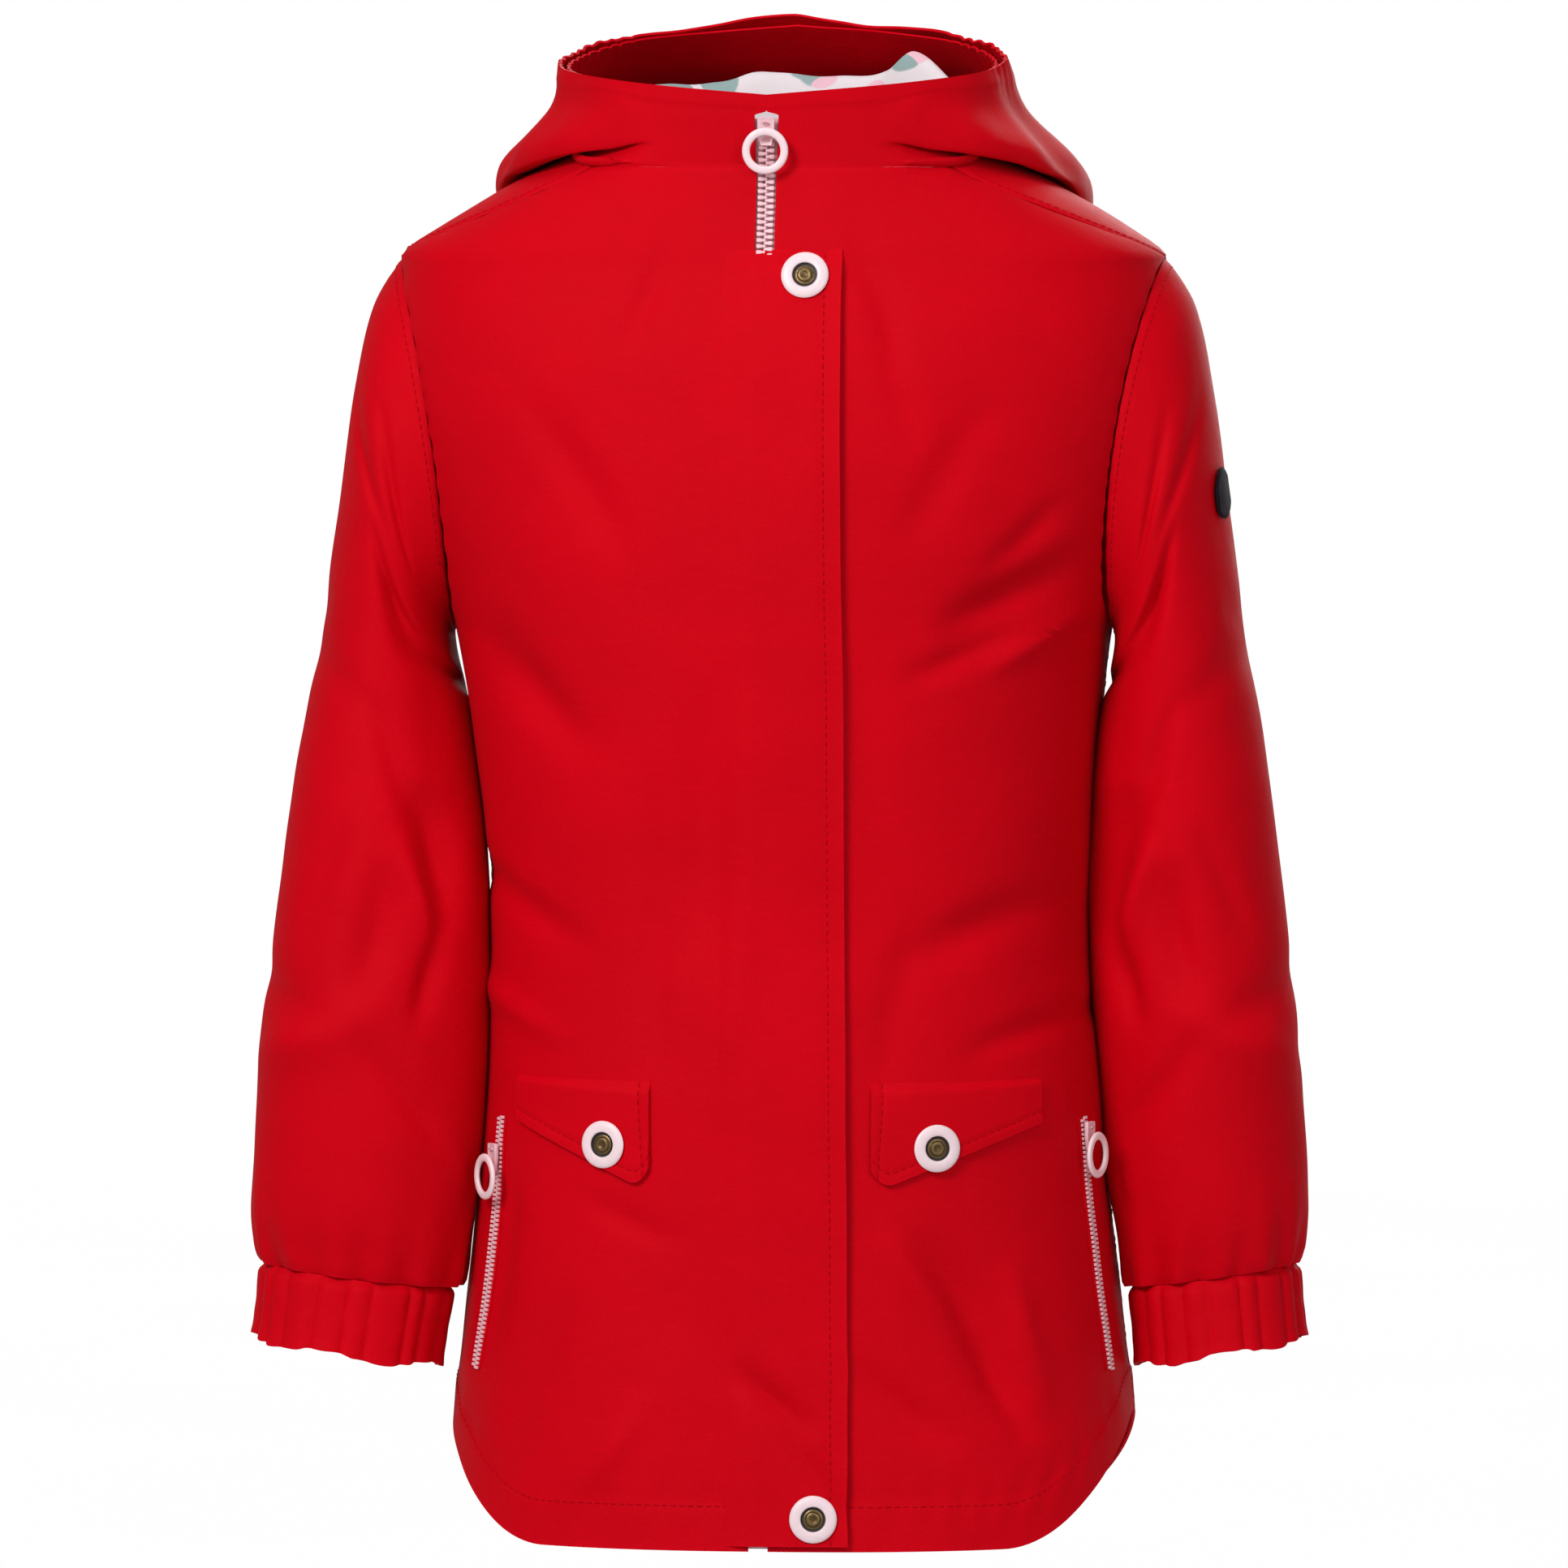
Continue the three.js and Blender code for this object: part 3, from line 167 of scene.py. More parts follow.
def column(rows, key, name, at):
    """Smooth value of one column of a table at places in its key column."""
    keys, values = rows[key], rows[name]
    last = len(keys) - 1
    at = np.asarray(at, float)
    low = np.clip(np.searchsorted(keys, at, side="left") - 1, 0, last - 1)
    before, after = np.maximum(np.arange(last + 1) - 1, 0), np.minimum(np.arange(last + 1) + 1, last)
    slopes = (values[after] - values[before]) / (keys[after] - keys[before])
    span = keys[low + 1] - keys[low]
    t = np.clip((at - keys[low]) / span, 0, 1)
    return ((2 * t**3 - 3 * t**2 + 1) * values[low] + (t**3 - 2 * t**2 + t) * slopes[low] * span
            + (3 * t**2 - 2 * t**3) * values[low + 1] + (t**3 - t**2) * slopes[low + 1] * span)


def smoothstep(value, low, high):
    t = np.clip((np.asarray(value, float) - low) / (high - low), 0, 1)
    return t * t * (3 - 2 * t)


def hump(distance, width):
    """1 at no distance, fading smoothly on both sides."""
    return np.exp(-((distance / width) ** 2))


def cos_sin(degrees):
    return np.cos(np.radians(degrees)), np.sin(np.radians(degrees))


def point(x, y, z):
    return np.stack(np.broadcast_arrays(x, y, z), axis=-1).astype(float)


def unit(vectors):
    return vectors / np.maximum(np.linalg.norm(vectors, axis=-1, keepdims=True), 1e-9)


def away_from_front(angle):
    return np.abs(np.mod(np.asarray(angle, float) + 180, 360) - 180)


def soft_noise(place, size, seed, waves=7):
    """Even, repeatable unevenness between about -1 and 1, from a few crossed waves."""
    draw = np.random.default_rng(seed)
    total = 0
    for _ in range(waves):
        direction = unit(draw.normal(size=3))
        length = size * draw.uniform(0.6, 1.7)
        total = total + np.sin(place @ direction * (2 * math.pi / length) + draw.uniform(0, 6.28))
    return total / math.sqrt(waves) / 1.4


def armhole_point(side, turn, grow=0.0):
    c, s = cos_sin(turn)
    x = (ARM_TOP_X + ARM_LOW_X + (ARM_TOP_X - ARM_LOW_X) * c) / 2
    z = (ARM_TOP_Z + ARM_LOW_Z + (ARM_TOP_Z - ARM_LOW_Z) * c) / 2 + grow * c
    return point(side * (x - ARM_SCOOP * s * s), -(ARM_DEPTH + grow) * s, z)


def torso_smooth(angle, z):
    """Smooth outer face of the torso: angle 0 in front, 90 at the wearer's left, 180 behind."""
    angle, z = np.broadcast_arrays(np.asarray(angle, float), np.asarray(z, float))
    ahead, across = cos_sin(angle)
    depth = np.where(ahead > 0, column(TORSO, "z", "front", z), column(TORSO, "z", "back", z))
    c = (2 * z - ARM_TOP_Z - ARM_LOW_Z) / (ARM_TOP_Z - ARM_LOW_Z)
    s2 = np.clip(1 - c * c, 0, 1)
    edge_x = (ARM_TOP_X + ARM_LOW_X + (ARM_TOP_X - ARM_LOW_X) * c) / 2 - ARM_SCOOP * s2
    edge_y = np.minimum(ARM_DEPTH * np.sqrt(s2), depth * 0.98)
    at_armhole = edge_x / (1 - (edge_y / depth) ** OVAL_POWER) ** (1 / OVAL_POWER)
    half = np.where(np.abs(c) < 1, at_armhole, column(TORSO, "z", "side", z))
    reach = np.abs(across / half) ** OVAL_POWER + np.abs(ahead / depth) ** OVAL_POWER
    radius = reach ** (-1 / OVAL_POWER)
    sway = column(TORSO, "z", "sway", z)
    return point(sway + radius * across, -radius * ahead, z)


def square_to(face, u, v, step_u, step_v):
    """Direction square to a face at (u, v)."""
    along_u = face(u + step_u, v) - face(u - step_u, v)
    along_v = face(u, v + step_v) - face(u, v - step_v)
    return unit(np.cross(along_u, along_v))


def crease_lift(across, up, rows, first, second):
    """Height of all the creases of a table at places measured across and up a face."""
    total = np.zeros_like(across)
    for i in range(len(rows["lift"])):
        lean = math.radians(rows["lean"][i])
        dx, dz = across - rows[first][i], up - rows[second][i]
        along = dx * math.sin(lean) + dz * math.cos(lean)
        aside = dx * math.cos(lean) - dz * math.sin(lean)
        ends = np.maximum(0, 1 - (along / rows["length"][i]) ** 2)
        wander = 0.22 * rows["width"][i] * np.sin(along / rows["length"][i] * 2.3 + i)
        total += rows["lift"][i] * ends**1.5 * hump(aside - wander, rows["width"][i])
    return total


def torso_lift(angle, z):
    """Creases and unevenness of the torso's cloth, outward positive."""
    place = torso_smooth(angle, z)
    ahead = np.cos(np.radians(angle)) > 0
    front = crease_lift(place[..., 0], place[..., 2], FRONT_CREASES, "x", "z")
    back = crease_lift(place[..., 0], place[..., 2], BACK_CREASES, "x", "z")
    even = 0.42 * soft_noise(place, 95, 11) + 0.2 * soft_noise(place, 38, 12)
    return np.where(ahead, FRONT_STRENGTH * front, BACK_STRENGTH * back) + even


def torso_face(angle, z):
    normal = square_to(torso_smooth, angle, z, 0.5, 0.5)
    return torso_smooth(angle, z) + normal * torso_lift(angle, z)[..., None]


def on_torso(angle, z, out=0.0):
    normal = square_to(torso_face, angle, z, 0.7, 0.7)
    return torso_face(angle, z) + normal * np.asarray(out)[..., None], normal


def angle_at_x(x, z):
    """Angle round the front of a torso ring at which it has a given x."""
    shape = np.broadcast(x, z).shape
    low, high = np.full(shape, -89.0), np.full(shape, 89.0)
    for _ in range(22):
        middle = (low + high) / 2
        over = torso_smooth(middle, z)[..., 0] > x
        low, high = np.where(over, low, middle), np.where(over, middle, high)
    return (low + high) / 2


def neck_height(angle):
    away = away_from_front(angle)
    return (NECK_FRONT_Z + NECK_SIDE_RISE * smoothstep(away, 52, 92)
            + NECK_BACK_RISE * smoothstep(away, 92, 180))


def hem_height(angle):
    away = np.abs(away_from_front(angle) - 90)
    return HEM_Z + HEM_SIDE_RISE * (1 - smoothstep(away, 0, HEM_RISE_WIDTH))


def row_height(even, angle):
    """Height on the torso from an even row height: the last rows follow the hem and the neck."""
    low = HEM_EVEN_Z + (hem_height(angle) - HEM_EVEN_Z) * (even - HEM_EVEN_Z) / (HEM_Z - HEM_EVEN_Z)
    high = NECK_FRONT_Z + (neck_height(angle) - NECK_FRONT_Z) * (even - NECK_FRONT_Z) / -NECK_FRONT_Z
    return np.where(even < HEM_EVEN_Z, low, np.where(even > NECK_FRONT_Z, high, even))


def sleeve_place(side, value):
    """Inner x of a sleeve's ring and its middle y; the right sleeve swings forward."""
    swung = 1 if side < 0 else 0
    inner = value["inX"] - swung * value["tuck"] + side * column(TORSO, "z", "sway", value["inZ"])
    return inner, value["midY"] - swung * value["swing"]


def sleeve_face(side, turn, along):
    """Outer face of a sleeve: turn 0 on the outer line, 90 in front, 180 beside the body."""
    turn, along = np.broadcast_arrays(np.asarray(turn, float), np.asarray(along, float))
    c, s = cos_sin(turn)
    value = {name: column(SLEEVE, "along", name, along) for name in SLEEVE if name != "along"}
    inner, middle = sleeve_place(side, value)
    at_armhole = 1 - smoothstep(along, 0, 55)
    centre = point((value["outX"] + inner) / 2 - ARM_SCOOP * at_armhole * s * s, middle,
                   (value["outZ"] + value["inZ"]) / 2)
    arm = point((value["outX"] - inner) / 2 * c, -value["depth"] * s,
                (value["outZ"] - value["inZ"]) / 2 * c)
    reach = np.linalg.norm(arm, axis=-1)
    place = centre + arm
    seed = 21 if side > 0 else 31
    lift = sleeve_gathers(side, turn, along) - SEAM_GAP * (1 - smoothstep(along, 0, 10))
    lift = lift + SLEEVE_BULGE * smoothstep(along, 110, 170) * smoothstep(-c, 0.6, 1)
    girth = np.radians(reach)
    seam = np.where(turn > 180, turn - 360, turn)
    for shift in (0, 360):
        creases = crease_lift((seam + shift) * girth, along, SLEEVE_CREASE_PLACES, "across", "along")
        lift = lift + SLEEVE_STRENGTH * creases * smoothstep(along, 4, 24)
    uneven = 0.4 * soft_noise(place, 80, seed) + 0.22 * soft_noise(place, 34, seed + 1)
    lift = lift + uneven * smoothstep(along, 3, 20)
    result = centre + arm * (1 + lift / reach)[..., None]
    result[..., 0] *= side
    return result


def sleeve_gathers(side, turn, along):
    """Small folds that rise out of the cuff seam, of uneven length and strength."""
    draw = np.random.default_rng(51 if side > 0 else 52)
    total = np.zeros_like(turn)
    for i in range(SLEEVE_GATHERS):
        at = i * 360 / SLEEVE_GATHERS + draw.uniform(-5, 5)
        reach = draw.uniform(22, 62)
        lift = draw.uniform(1.0, 2.3) * (-1 if i % 2 else 0.75)
        gap = np.mod(turn - at - (SLEEVE_END - along) * draw.uniform(-0.12, 0.12) + 180, 360) - 180
        rise = np.clip((SLEEVE_END - along) / reach, 0, 1)
        total += lift * (1 - rise) ** 1.3 * hump(gap, 5.2 + 5 * rise)
    return total


def on_sleeve(side, turn, along, out=0.0):
    def face(u, v):
        return sleeve_face(side, u, v)
    normal = square_to(face, turn, along, 1, 0.6) * side
    return face(turn, along) + normal * np.asarray(out)[..., None], normal


def cuff_face(side, turn, share):
    """Outer face of a cuff: share 0 at the sleeve, 1 at its open end."""
    turn, share = np.broadcast_arrays(np.asarray(turn, float), np.asarray(share, float))
    c, s = cos_sin(turn)
    value = {name: SLEEVE[name][-1] + (CUFF[name] - SLEEVE[name][-1]) * share for name in CUFF}
    draw = np.random.default_rng(61 if side > 0 else 62)
    uneven = sum(draw.uniform(0.2, 0.5) * np.sin(np.radians(turn) * k + draw.uniform(0, 6.3))
                 for k in (3, 7, 11))
    phase = np.radians(CUFF_PLEATS * turn) + uneven * 1.6
    sharp = 1 - np.abs(np.sin(phase / 2)) ** 0.7 * 1.7
    casing = 1 - 0.35 * hump(share - 0.5, 0.14)
    neck = -1.6 * hump(share, 0.07) + 0.5 * hump(share - 1, 0.1)
    lift = -1.0 * sharp * casing * smoothstep(share, -0.05, 0.12) + neck
    swell = 1 + lift / value["depth"]
    wave = share * (1.3 * np.sin(np.radians(5 * turn + 40)) + 0.25 * np.cos(phase))
    inner, middle = sleeve_place(side, value)
    return point(side * ((value["outX"] + inner) / 2 + (value["outX"] - inner) / 2 * c * swell),
                 middle - value["depth"] * s * swell,
                 (value["outZ"] + value["inZ"]) / 2 + (value["outZ"] - value["inZ"]) / 2 * c + wave)


def rim_point(angle):
    turn = np.radians(angle)
    return point(RIM_HALF_WIDTH * np.sin(turn), RIM_MID_Y - RIM_HALF_DEPTH * np.cos(turn),
                 column(RIM_HEIGHT, "angle", "z", away_from_front(angle)))


def spline(points, v):
    """Smooth centripetal curves through points[..., k, :], at shares v."""
    count = points.shape[-2]
    place = np.clip(v, 0, 1) * (count - 1)
    low = np.minimum(place.astype(int), count - 2)
    t = (place - low)[..., None]
    first = 2 * points[..., :1, :] - points[..., 1:2, :]
    last = 2 * points[..., -1:, :] - points[..., -2:-1, :]
    every = np.concatenate([first, points, last], axis=-2)
    a, b, c, d = (np.take_along_axis(every, (low + k)[..., None, None], axis=-2)[..., 0, :] for k in range(4))
    gaps = [np.sqrt(np.maximum(np.linalg.norm(step, axis=-1, keepdims=True), 1e-4))
            for step in (b - a, c - b, d - c)]
    t1 = ((b - a) / gaps[0] - (c - a) / (gaps[0] + gaps[1]) + (c - b) / gaps[1]) * gaps[1]
    t2 = ((c - b) / gaps[1] - (d - b) / (gaps[1] + gaps[2]) + (d - c) / gaps[2]) * gaps[1]
    return b + t1 * t + (3 * (c - b) - 2 * t1 - t2) * t**2 + (2 * (b - c) + t1 + t2) * t**3


def ray_at(angle):
    """Level direction out from the neck at an angle."""
    ahead, across = cos_sin(angle)
    return point(across, -ahead, 0)


def hood_section(angle):
    """Section of the hood: up from the neck seam in front, elsewhere rolled out and folded back up."""
    away = away_from_front(angle)
    value = {name: column(HOOD, "angle", name, away) for name in HOOD if name != "angle"}
    ray = ray_at(angle)

    def polar(radius, z):
        return ray * radius[..., None] + point(0, 0, z)
    neck_z = neck_height(angle)
    neck = torso_face(angle, neck_z) + point(0, 0, 0.02)
    rim = rim_point(angle)
    roll = neck + ray * (HOOD_ROLL / 4) + point(0, 0, HOOD_ROLL)
    stand_off = 1.2 + 4 * smoothstep(away, 88, 130)
    lays = [on_torso(angle, neck_z + (value["foldZ"] + 2 - neck_z) * share, stand_off)[0]
            for share in HOOD_LAY_SHARES]
    upper = polar(value["upperR"], value["upperZ"])
    folded = [neck, roll, *lays, polar(value["foldR"], value["foldZ"]),
              polar(value["bellyR"], value["bellyZ"]), upper, upper + (rim - upper) * 0.7, rim]
    standing = [neck + (rim - neck) * share for share in STAND_SHARES]
    full = smoothstep(away, HOOD_FOLD_START, HOOD_FOLD_FULL)[..., None]
    return np.stack([a + (b - a) * full for a, b in zip(standing, folded)], axis=-2)


def hood_grid(angles, shares):
    """Places on the hood for a grid of angles and shares of its section."""
    u, v = np.broadcast_arrays(np.asarray(angles, float), np.asarray(shares, float))
    return spline(hood_section(u), v)


def grid_normals(grid, closed=False):
    if closed:
        along_u = np.roll(grid, -1, axis=1) - np.roll(grid, 1, axis=1)
    else:
        along_u = np.gradient(grid, axis=1)
    return unit(np.cross(along_u, np.gradient(grid, axis=0)))


def lengths(grid):
    """Distances along the rows and columns of a grid, for a pattern that follows the cloth."""
    across = np.linalg.norm(np.diff(grid, axis=1), axis=-1).mean(axis=0)
    up = np.linalg.norm(np.diff(grid, axis=0), axis=-1).mean(axis=1)
    u = np.concatenate([[0], np.cumsum(across)])
    v = np.concatenate([[0], np.cumsum(up)])
    return np.meshgrid(u, v)


def mesh_piece(name, vertices, faces, material, uv=None):
    """A new piece at the origin from points in millimetres; uv is a pair of columns in millimetres."""
    mesh = bpy.data.meshes.new(name)
    mesh.from_pydata((np.asarray(vertices) * MM).tolist(), [], [list(f) for f in faces])
    if uv is not None:
        layer = mesh.uv_layers.new(name="cloth")
        index = np.empty(len(mesh.loops), int)
        mesh.loops.foreach_get("vertex_index", index)
        flat = np.stack([uv[0].ravel(), uv[1].ravel()], axis=1) * MM
        layer.data.foreach_set("uv", flat[index].ravel())
    mesh.polygons.foreach_set("use_smooth", [True] * len(mesh.polygons))
    mesh.materials.append(material)
    mesh.update()
    piece = bpy.data.objects.new(name, mesh)
    bpy.context.collection.objects.link(piece)
    return piece


def cloth_piece(name, outer, material, thickness, out=1, closed=False):
    """Closed thin shell of cloth: an outer grid of points, an inner one, and edges between them."""
    rows, cols = outer.shape[:2]
    inner = outer - grid_normals(outer, closed) * out * thickness
    u, v = lengths(outer)
    at = np.arange(rows * cols).reshape(rows, cols)
    if closed:
        at = np.concatenate([at, at[:, :1]], axis=1)
    low = rows * cols
    quads = [np.stack([at[:-1, :-1], at[:-1, 1:], at[1:, 1:], at[1:, :-1]], axis=-1).reshape(-1, 4),
             np.stack([at[:-1, :-1], at[1:, :-1], at[1:, 1:], at[:-1, 1:]], axis=-1).reshape(-1, 4) + low,
             np.stack([at[0, :-1], at[0, :-1] + low, at[0, 1:] + low, at[0, 1:]], axis=-1),
             np.stack([at[-1, :-1], at[-1, 1:], at[-1, 1:] + low, at[-1, :-1] + low], axis=-1)]
    if not closed:
        quads += [np.stack([at[:-1, 0], at[1:, 0], at[1:, 0] + low, at[:-1, 0] + low], axis=-1),
                  np.stack([at[:-1, -1], at[:-1, -1] + low, at[1:, -1] + low, at[1:, -1]], axis=-1)]
    faces = np.concatenate(quads)
    if out < 0:
        faces = faces[:, ::-1]
    points = np.concatenate([outer.reshape(-1, 3), inner.reshape(-1, 3)])
    both = (np.concatenate([u.ravel(), u.ravel()]), np.concatenate([v.ravel(), v.ravel()]))
    piece = mesh_piece(name, points, faces.tolist(), material, both)
    only(piece)
    bpy.ops.object.shade_smooth_by_angle(angle=math.radians(50))
    return piece


def only(piece):
    """Makes one piece the only selected and the active one."""
    bpy.ops.object.select_all(action="DESELECT")
    piece.select_set(True)
    bpy.context.view_layer.objects.active = piece


def face_outward(piece):
    """Turns all the faces of a piece outward."""
    only(piece)
    bpy.ops.object.mode_set(mode="EDIT")
    bpy.ops.mesh.select_all(action="SELECT")
    bpy.ops.mesh.normals_make_consistent(inside=False)
    bpy.ops.object.mode_set(mode="OBJECT")


def finish_piece(piece, slot, *nodes, body=BODY):
    """States what a piece replaces and the body that it rides on; its material slot is not used."""
    if nodes:
        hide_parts(*nodes)
    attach(piece, body)


def pair(stem):
    """Names of a left and a right piece, with the side of each."""
    return (stem + "_left", 1), (stem + "_right", -1)


# Materials


class Socket:
    """A node's output in a shader sum: each operator adds a Math node."""

    def __init__(self, tree, link):
        self.tree, self.link = tree, link

    def math(self, operation, *values):
        return self.tree.node("ShaderNodeMath", {"operation": operation}, dict(enumerate(values)))

    def __add__(self, other):
        return self.math("ADD", self, other)

    def __sub__(self, other):
        return self.math("SUBTRACT", self, other)

    def __mul__(self, other):
        return self.math("MULTIPLY", self, other)

    def __rsub__(self, other):
        return self.math("SUBTRACT", other, self)

    __radd__, __rmul__ = __add__, __mul__

    def abs(self):
        return self.math("ABSOLUTE", self)

    def sin(self):
        return self.math("SINE", self)

    def between(self, low, high):
        return self.tree.node("ShaderNodeMapRange", {"interpolation_type": "SMOOTHSTEP"},
                              {0: self, 1: low, 2: high})


class Nodes:
    """A node tree under construction, with one method that adds any node."""

    def __init__(self, tree):
        self.tree = tree

    def node(self, kind, settings, inputs, output=0):
        node = self.tree.nodes.new(kind)
        for key, value in settings.items():
            setattr(node, key, value)
        for key, value in inputs.items():
            self.plug(node.inputs[key], value)
        return Socket(self, node.outputs[output])

    def plug(self, socket, value):
        if isinstance(value, Socket):
            self.tree.links.new(value.link, socket)
        else:
            socket.default_value = value

    def for_camera(self, lighting, seen):
        """A shader that the camera sees in place of the one that lights the scene."""
        path = self.node("ShaderNodeLightPath", {}, {})
        return self.node("ShaderNodeMixShader", {}, {0: path, 1: lighting, 2: seen})


class Finish(Nodes):
    """A material under construction."""

    def __init__(self, name, **shader):
        self.material = bpy.data.materials.new(name)
        self.material.use_nodes = True
        super().__init__(self.material.node_tree)
        self.shader = self.tree.nodes["Principled BSDF"]
        for key, value in shader.items():
            self.shader.inputs[key.replace("_", " ").title().replace("Ior", "IOR")].default_value = value

    def set(self, **values):
        for key, value in values.items():
            self.plug(self.shader.inputs[key.replace("_", " ").title()], value)

    def coordinates(self, source, scale=(1, 1, 1)):
        start = self.node("ShaderNodeTexCoord", {}, {}, source)
        return self.node("ShaderNodeMapping", {}, {0: start, 3: scale})

    def noise(self, where, scale, detail=3.0, roughness=0.55):
        return self.node("ShaderNodeTexNoise", {}, {"Vector": where, "Scale": scale, "Detail": detail,
                                                     "Roughness": roughness})

    def mix(self, share, first, second):
        return self.node("ShaderNodeMix", {"data_type": "RGBA"}, {0: share, 6: first, 7: second}, 2)

    def parts(self, vector):
        """The first two numbers of a vector."""
        split = self.node("ShaderNodeSeparateXYZ", {}, {0: vector}).link.node
        return Socket(self, split.outputs[0]), Socket(self, split.outputs[1])

    def raised_edges(self, low, high):
        """1 on outward edges of the mesh, 0 in its hollows."""
        return self.node("ShaderNodeNewGeometry", {}, {}, "Pointiness").between(low, high)

    def bump(self, height, strength, distance, onto=None):
        inputs = {"Height": height, "Strength": strength, "Distance": distance}
        if onto is not None:
            inputs["Normal"] = onto
        return self.node("ShaderNodeBump", {}, inputs)


def weave(finish, threads):
    """Height of a plain weave that follows the cloth, from the threads in a metre."""
    across, up = finish.parts(finish.coordinates("UV", (threads, threads, 1)))
    over = (across * math.pi).sin() * (up * math.pi).sin()
    warp = (across * 2 * math.pi).sin().abs()
    weft = (up * 2 * math.pi).sin().abs()
    share = over.between(-0.3, 0.3)
    return warp * share + weft * (1 - share)


def shell_finish(colour, name="shell_cloth", threads=1150, worn=0.35):
    """Coated woven shell cloth: fine weave, faint slubs, soft crumple, raised edges and folds painted paler
    as a highlight.
    """
    deep = (colour[0] * 0.62, colour[1] * 0.5, colour[2] * 0.55, 1)
    lit = (min(colour[0] * 1.12, 1), colour[1] + 0.001, colour[2] + 0.006, 1)
    finish = Finish(name, roughness=0.5, specular_ior_level=0.035, sheen_weight=0.015, sheen_roughness=0.4,
                    sheen_tint=(1, 0.4, 0.45, 1))
    place = finish.coordinates("Object")
    cloth = finish.coordinates("UV")
    threads_height = weave(finish, threads)
    cloud = finish.noise(place, 14, 4, 0.6)
    slubs = finish.noise(finish.coordinates("UV", (60, 900, 1)), 1.0, 2, 0.5)
    crumple = finish.noise(place, 46, 5, 0.62)
    fine = finish.noise(cloth, 320, 3, 0.6)
    tone = finish.mix(cloud.between(0.35, 0.7), deep, colour)
    tone = finish.mix(0.22, colour, tone)
    tone = finish.mix(slubs.between(0.56, 0.72) * 0.22, tone, lit)
    tone = finish.mix(threads_height.between(0.2, 0.9) * 0.16, tone, lit)
    # Painted highlight: raised edges and folds are mixed towards the paler lit tone
    edge = finish.raised_edges(0.515, 0.57)
    tone = finish.mix(edge * worn * fine.between(0.35, 0.65), tone, lit)
    finish.set(base_color=tone, roughness=0.46 + cloud * 0.12 + fine * 0.06)
    soft = finish.bump(crumple + finish.noise(place, 120, 3, 0.6) * 0.35, 0.34, 0.0016)
    finish.set(normal=finish.bump(threads_height + fine * 0.7, 0.32, 0.00016, soft))
    return finish.material


def lining_finish(pale, grey, pink):
    """Soft printed lining: rounded leaf-like patches in two colours on a pale ground."""
    finish = Finish("lining_cloth", roughness=0.72, sheen_weight=0.15, specular_ior_level=0.3)
    place = finish.coordinates("Object")
    cloud = Socket(finish, finish.noise(place, 30, 2).link.node.outputs[1])
    drift = finish.node("ShaderNodeVectorMath", {"operation": "MULTIPLY_ADD"},
                        {0: cloud, 1: (0.012, 0.012, 0.012), 2: place})
    cells = finish.node("ShaderNodeTexVoronoi", {"feature": "F1"}, {"Vector": drift, "Scale": 62})
    tint = Socket(finish, cells.link.node.outputs[1])
    parts = finish.node("ShaderNodeSeparateColor", {}, {0: tint})
    patch = 1 - cells.between(0.44, 0.5)
    grey_here = patch * parts.between(0.52, 0.54)
    pink_here = patch * (1 - parts.between(0.36, 0.38))
    tone = finish.mix(grey_here, pale, grey)
    tone = finish.mix(pink_here, tone, pink)
    tone = finish.mix(finish.noise(place, 24, 3).between(0.3, 0.7) * 0.12, tone, (0.62, 0.55, 0.58, 1))
    finish.set(base_color=tone, roughness=0.66 + finish.noise(place, 300) * 0.12,
               normal=finish.bump(weave(finish, 900) + finish.noise(place, 260) * 0.5, 0.4, 0.0002))
    return finish.material


def moulded_finish(name, colour, roughness, hollow_shade=0.25):
    """Moulded plastic: faint cloudiness, fine scuffs and a little painted shade where faces meet."""
    finish = Finish(name, roughness=roughness, specular_ior_level=0.5, subsurface_weight=0.08,
                    subsurface_radius=(0.6, 0.4, 0.4), subsurface_scale=0.001)
    place = finish.coordinates("Object")
    scuffs = finish.noise(finish.coordinates("Object", (700, 90, 700)), 1.0, 4, 0.7)
    cloud = finish.noise(place, 120, 3)
    dark = darker(colour, 0.72)
    # Painted shade: the hollows where faces meet are mixed towards the darker tone
    hollow = 1 - finish.raised_edges(0.42, 0.5)
    tone = finish.mix(cloud.between(0.3, 0.7) * 0.18, colour, dark)
    tone = finish.mix(hollow * hollow_shade, tone, dark)
    finish.set(base_color=tone, roughness=roughness - 0.06 + scuffs * 0.14 + cloud * 0.06,
               normal=finish.bump(scuffs * 0.6 + cloud, 0.12, 0.0002))
    return finish.material


def darker(colour, share):
    return tuple(c * share for c in colour[:3]) + (1,)


RIBS_PER_METRE = 7000


def tape_finish(colour):
    """Woven zip tape: close ribs along its length."""
    finish = Finish("zip_tape", roughness=0.75, sheen_weight=0.2)
    ribs = (finish.parts(finish.coordinates("UV"))[0] * RIBS_PER_METRE).sin()
    tone = finish.mix(ribs.between(-0.8, 0.8) * 0.4, colour, darker(colour, 0.7))
    finish.set(base_color=tone, roughness=0.7 + ribs * 0.05, normal=finish.bump(ribs, 0.3, 0.0002))
    return finish.material


def brass_finish(colour):
    """Darkened brass of the studs: worn bright on the raised middle."""
    finish = Finish("dark_brass", roughness=0.38, metallic=0.9)
    place = finish.coordinates("Object")
    mottle = finish.noise(place, 700, 4, 0.6)
    raised = finish.raised_edges(0.48, 0.6)
    tone = finish.mix(mottle.between(0.35, 0.65) * 0.6, colour, darker(colour, 0.35))
    tone = finish.mix(raised * 0.5, tone, (0.42, 0.3, 0.14, 1))
    finish.set(base_color=tone, roughness=0.3 + mottle * 0.25, normal=finish.bump(mottle, 0.15, 0.0002))
    return finish.material


MADE = {}
COLOURS = ("shell_colour", "thread_colour", "lining_colour", "print_grey", "print_pink", "trim_colour",
           "zip_colour", "stud_colour", "badge_colour")
WELL_COLOUR = (0.012, 0.005, 0.004, 1)


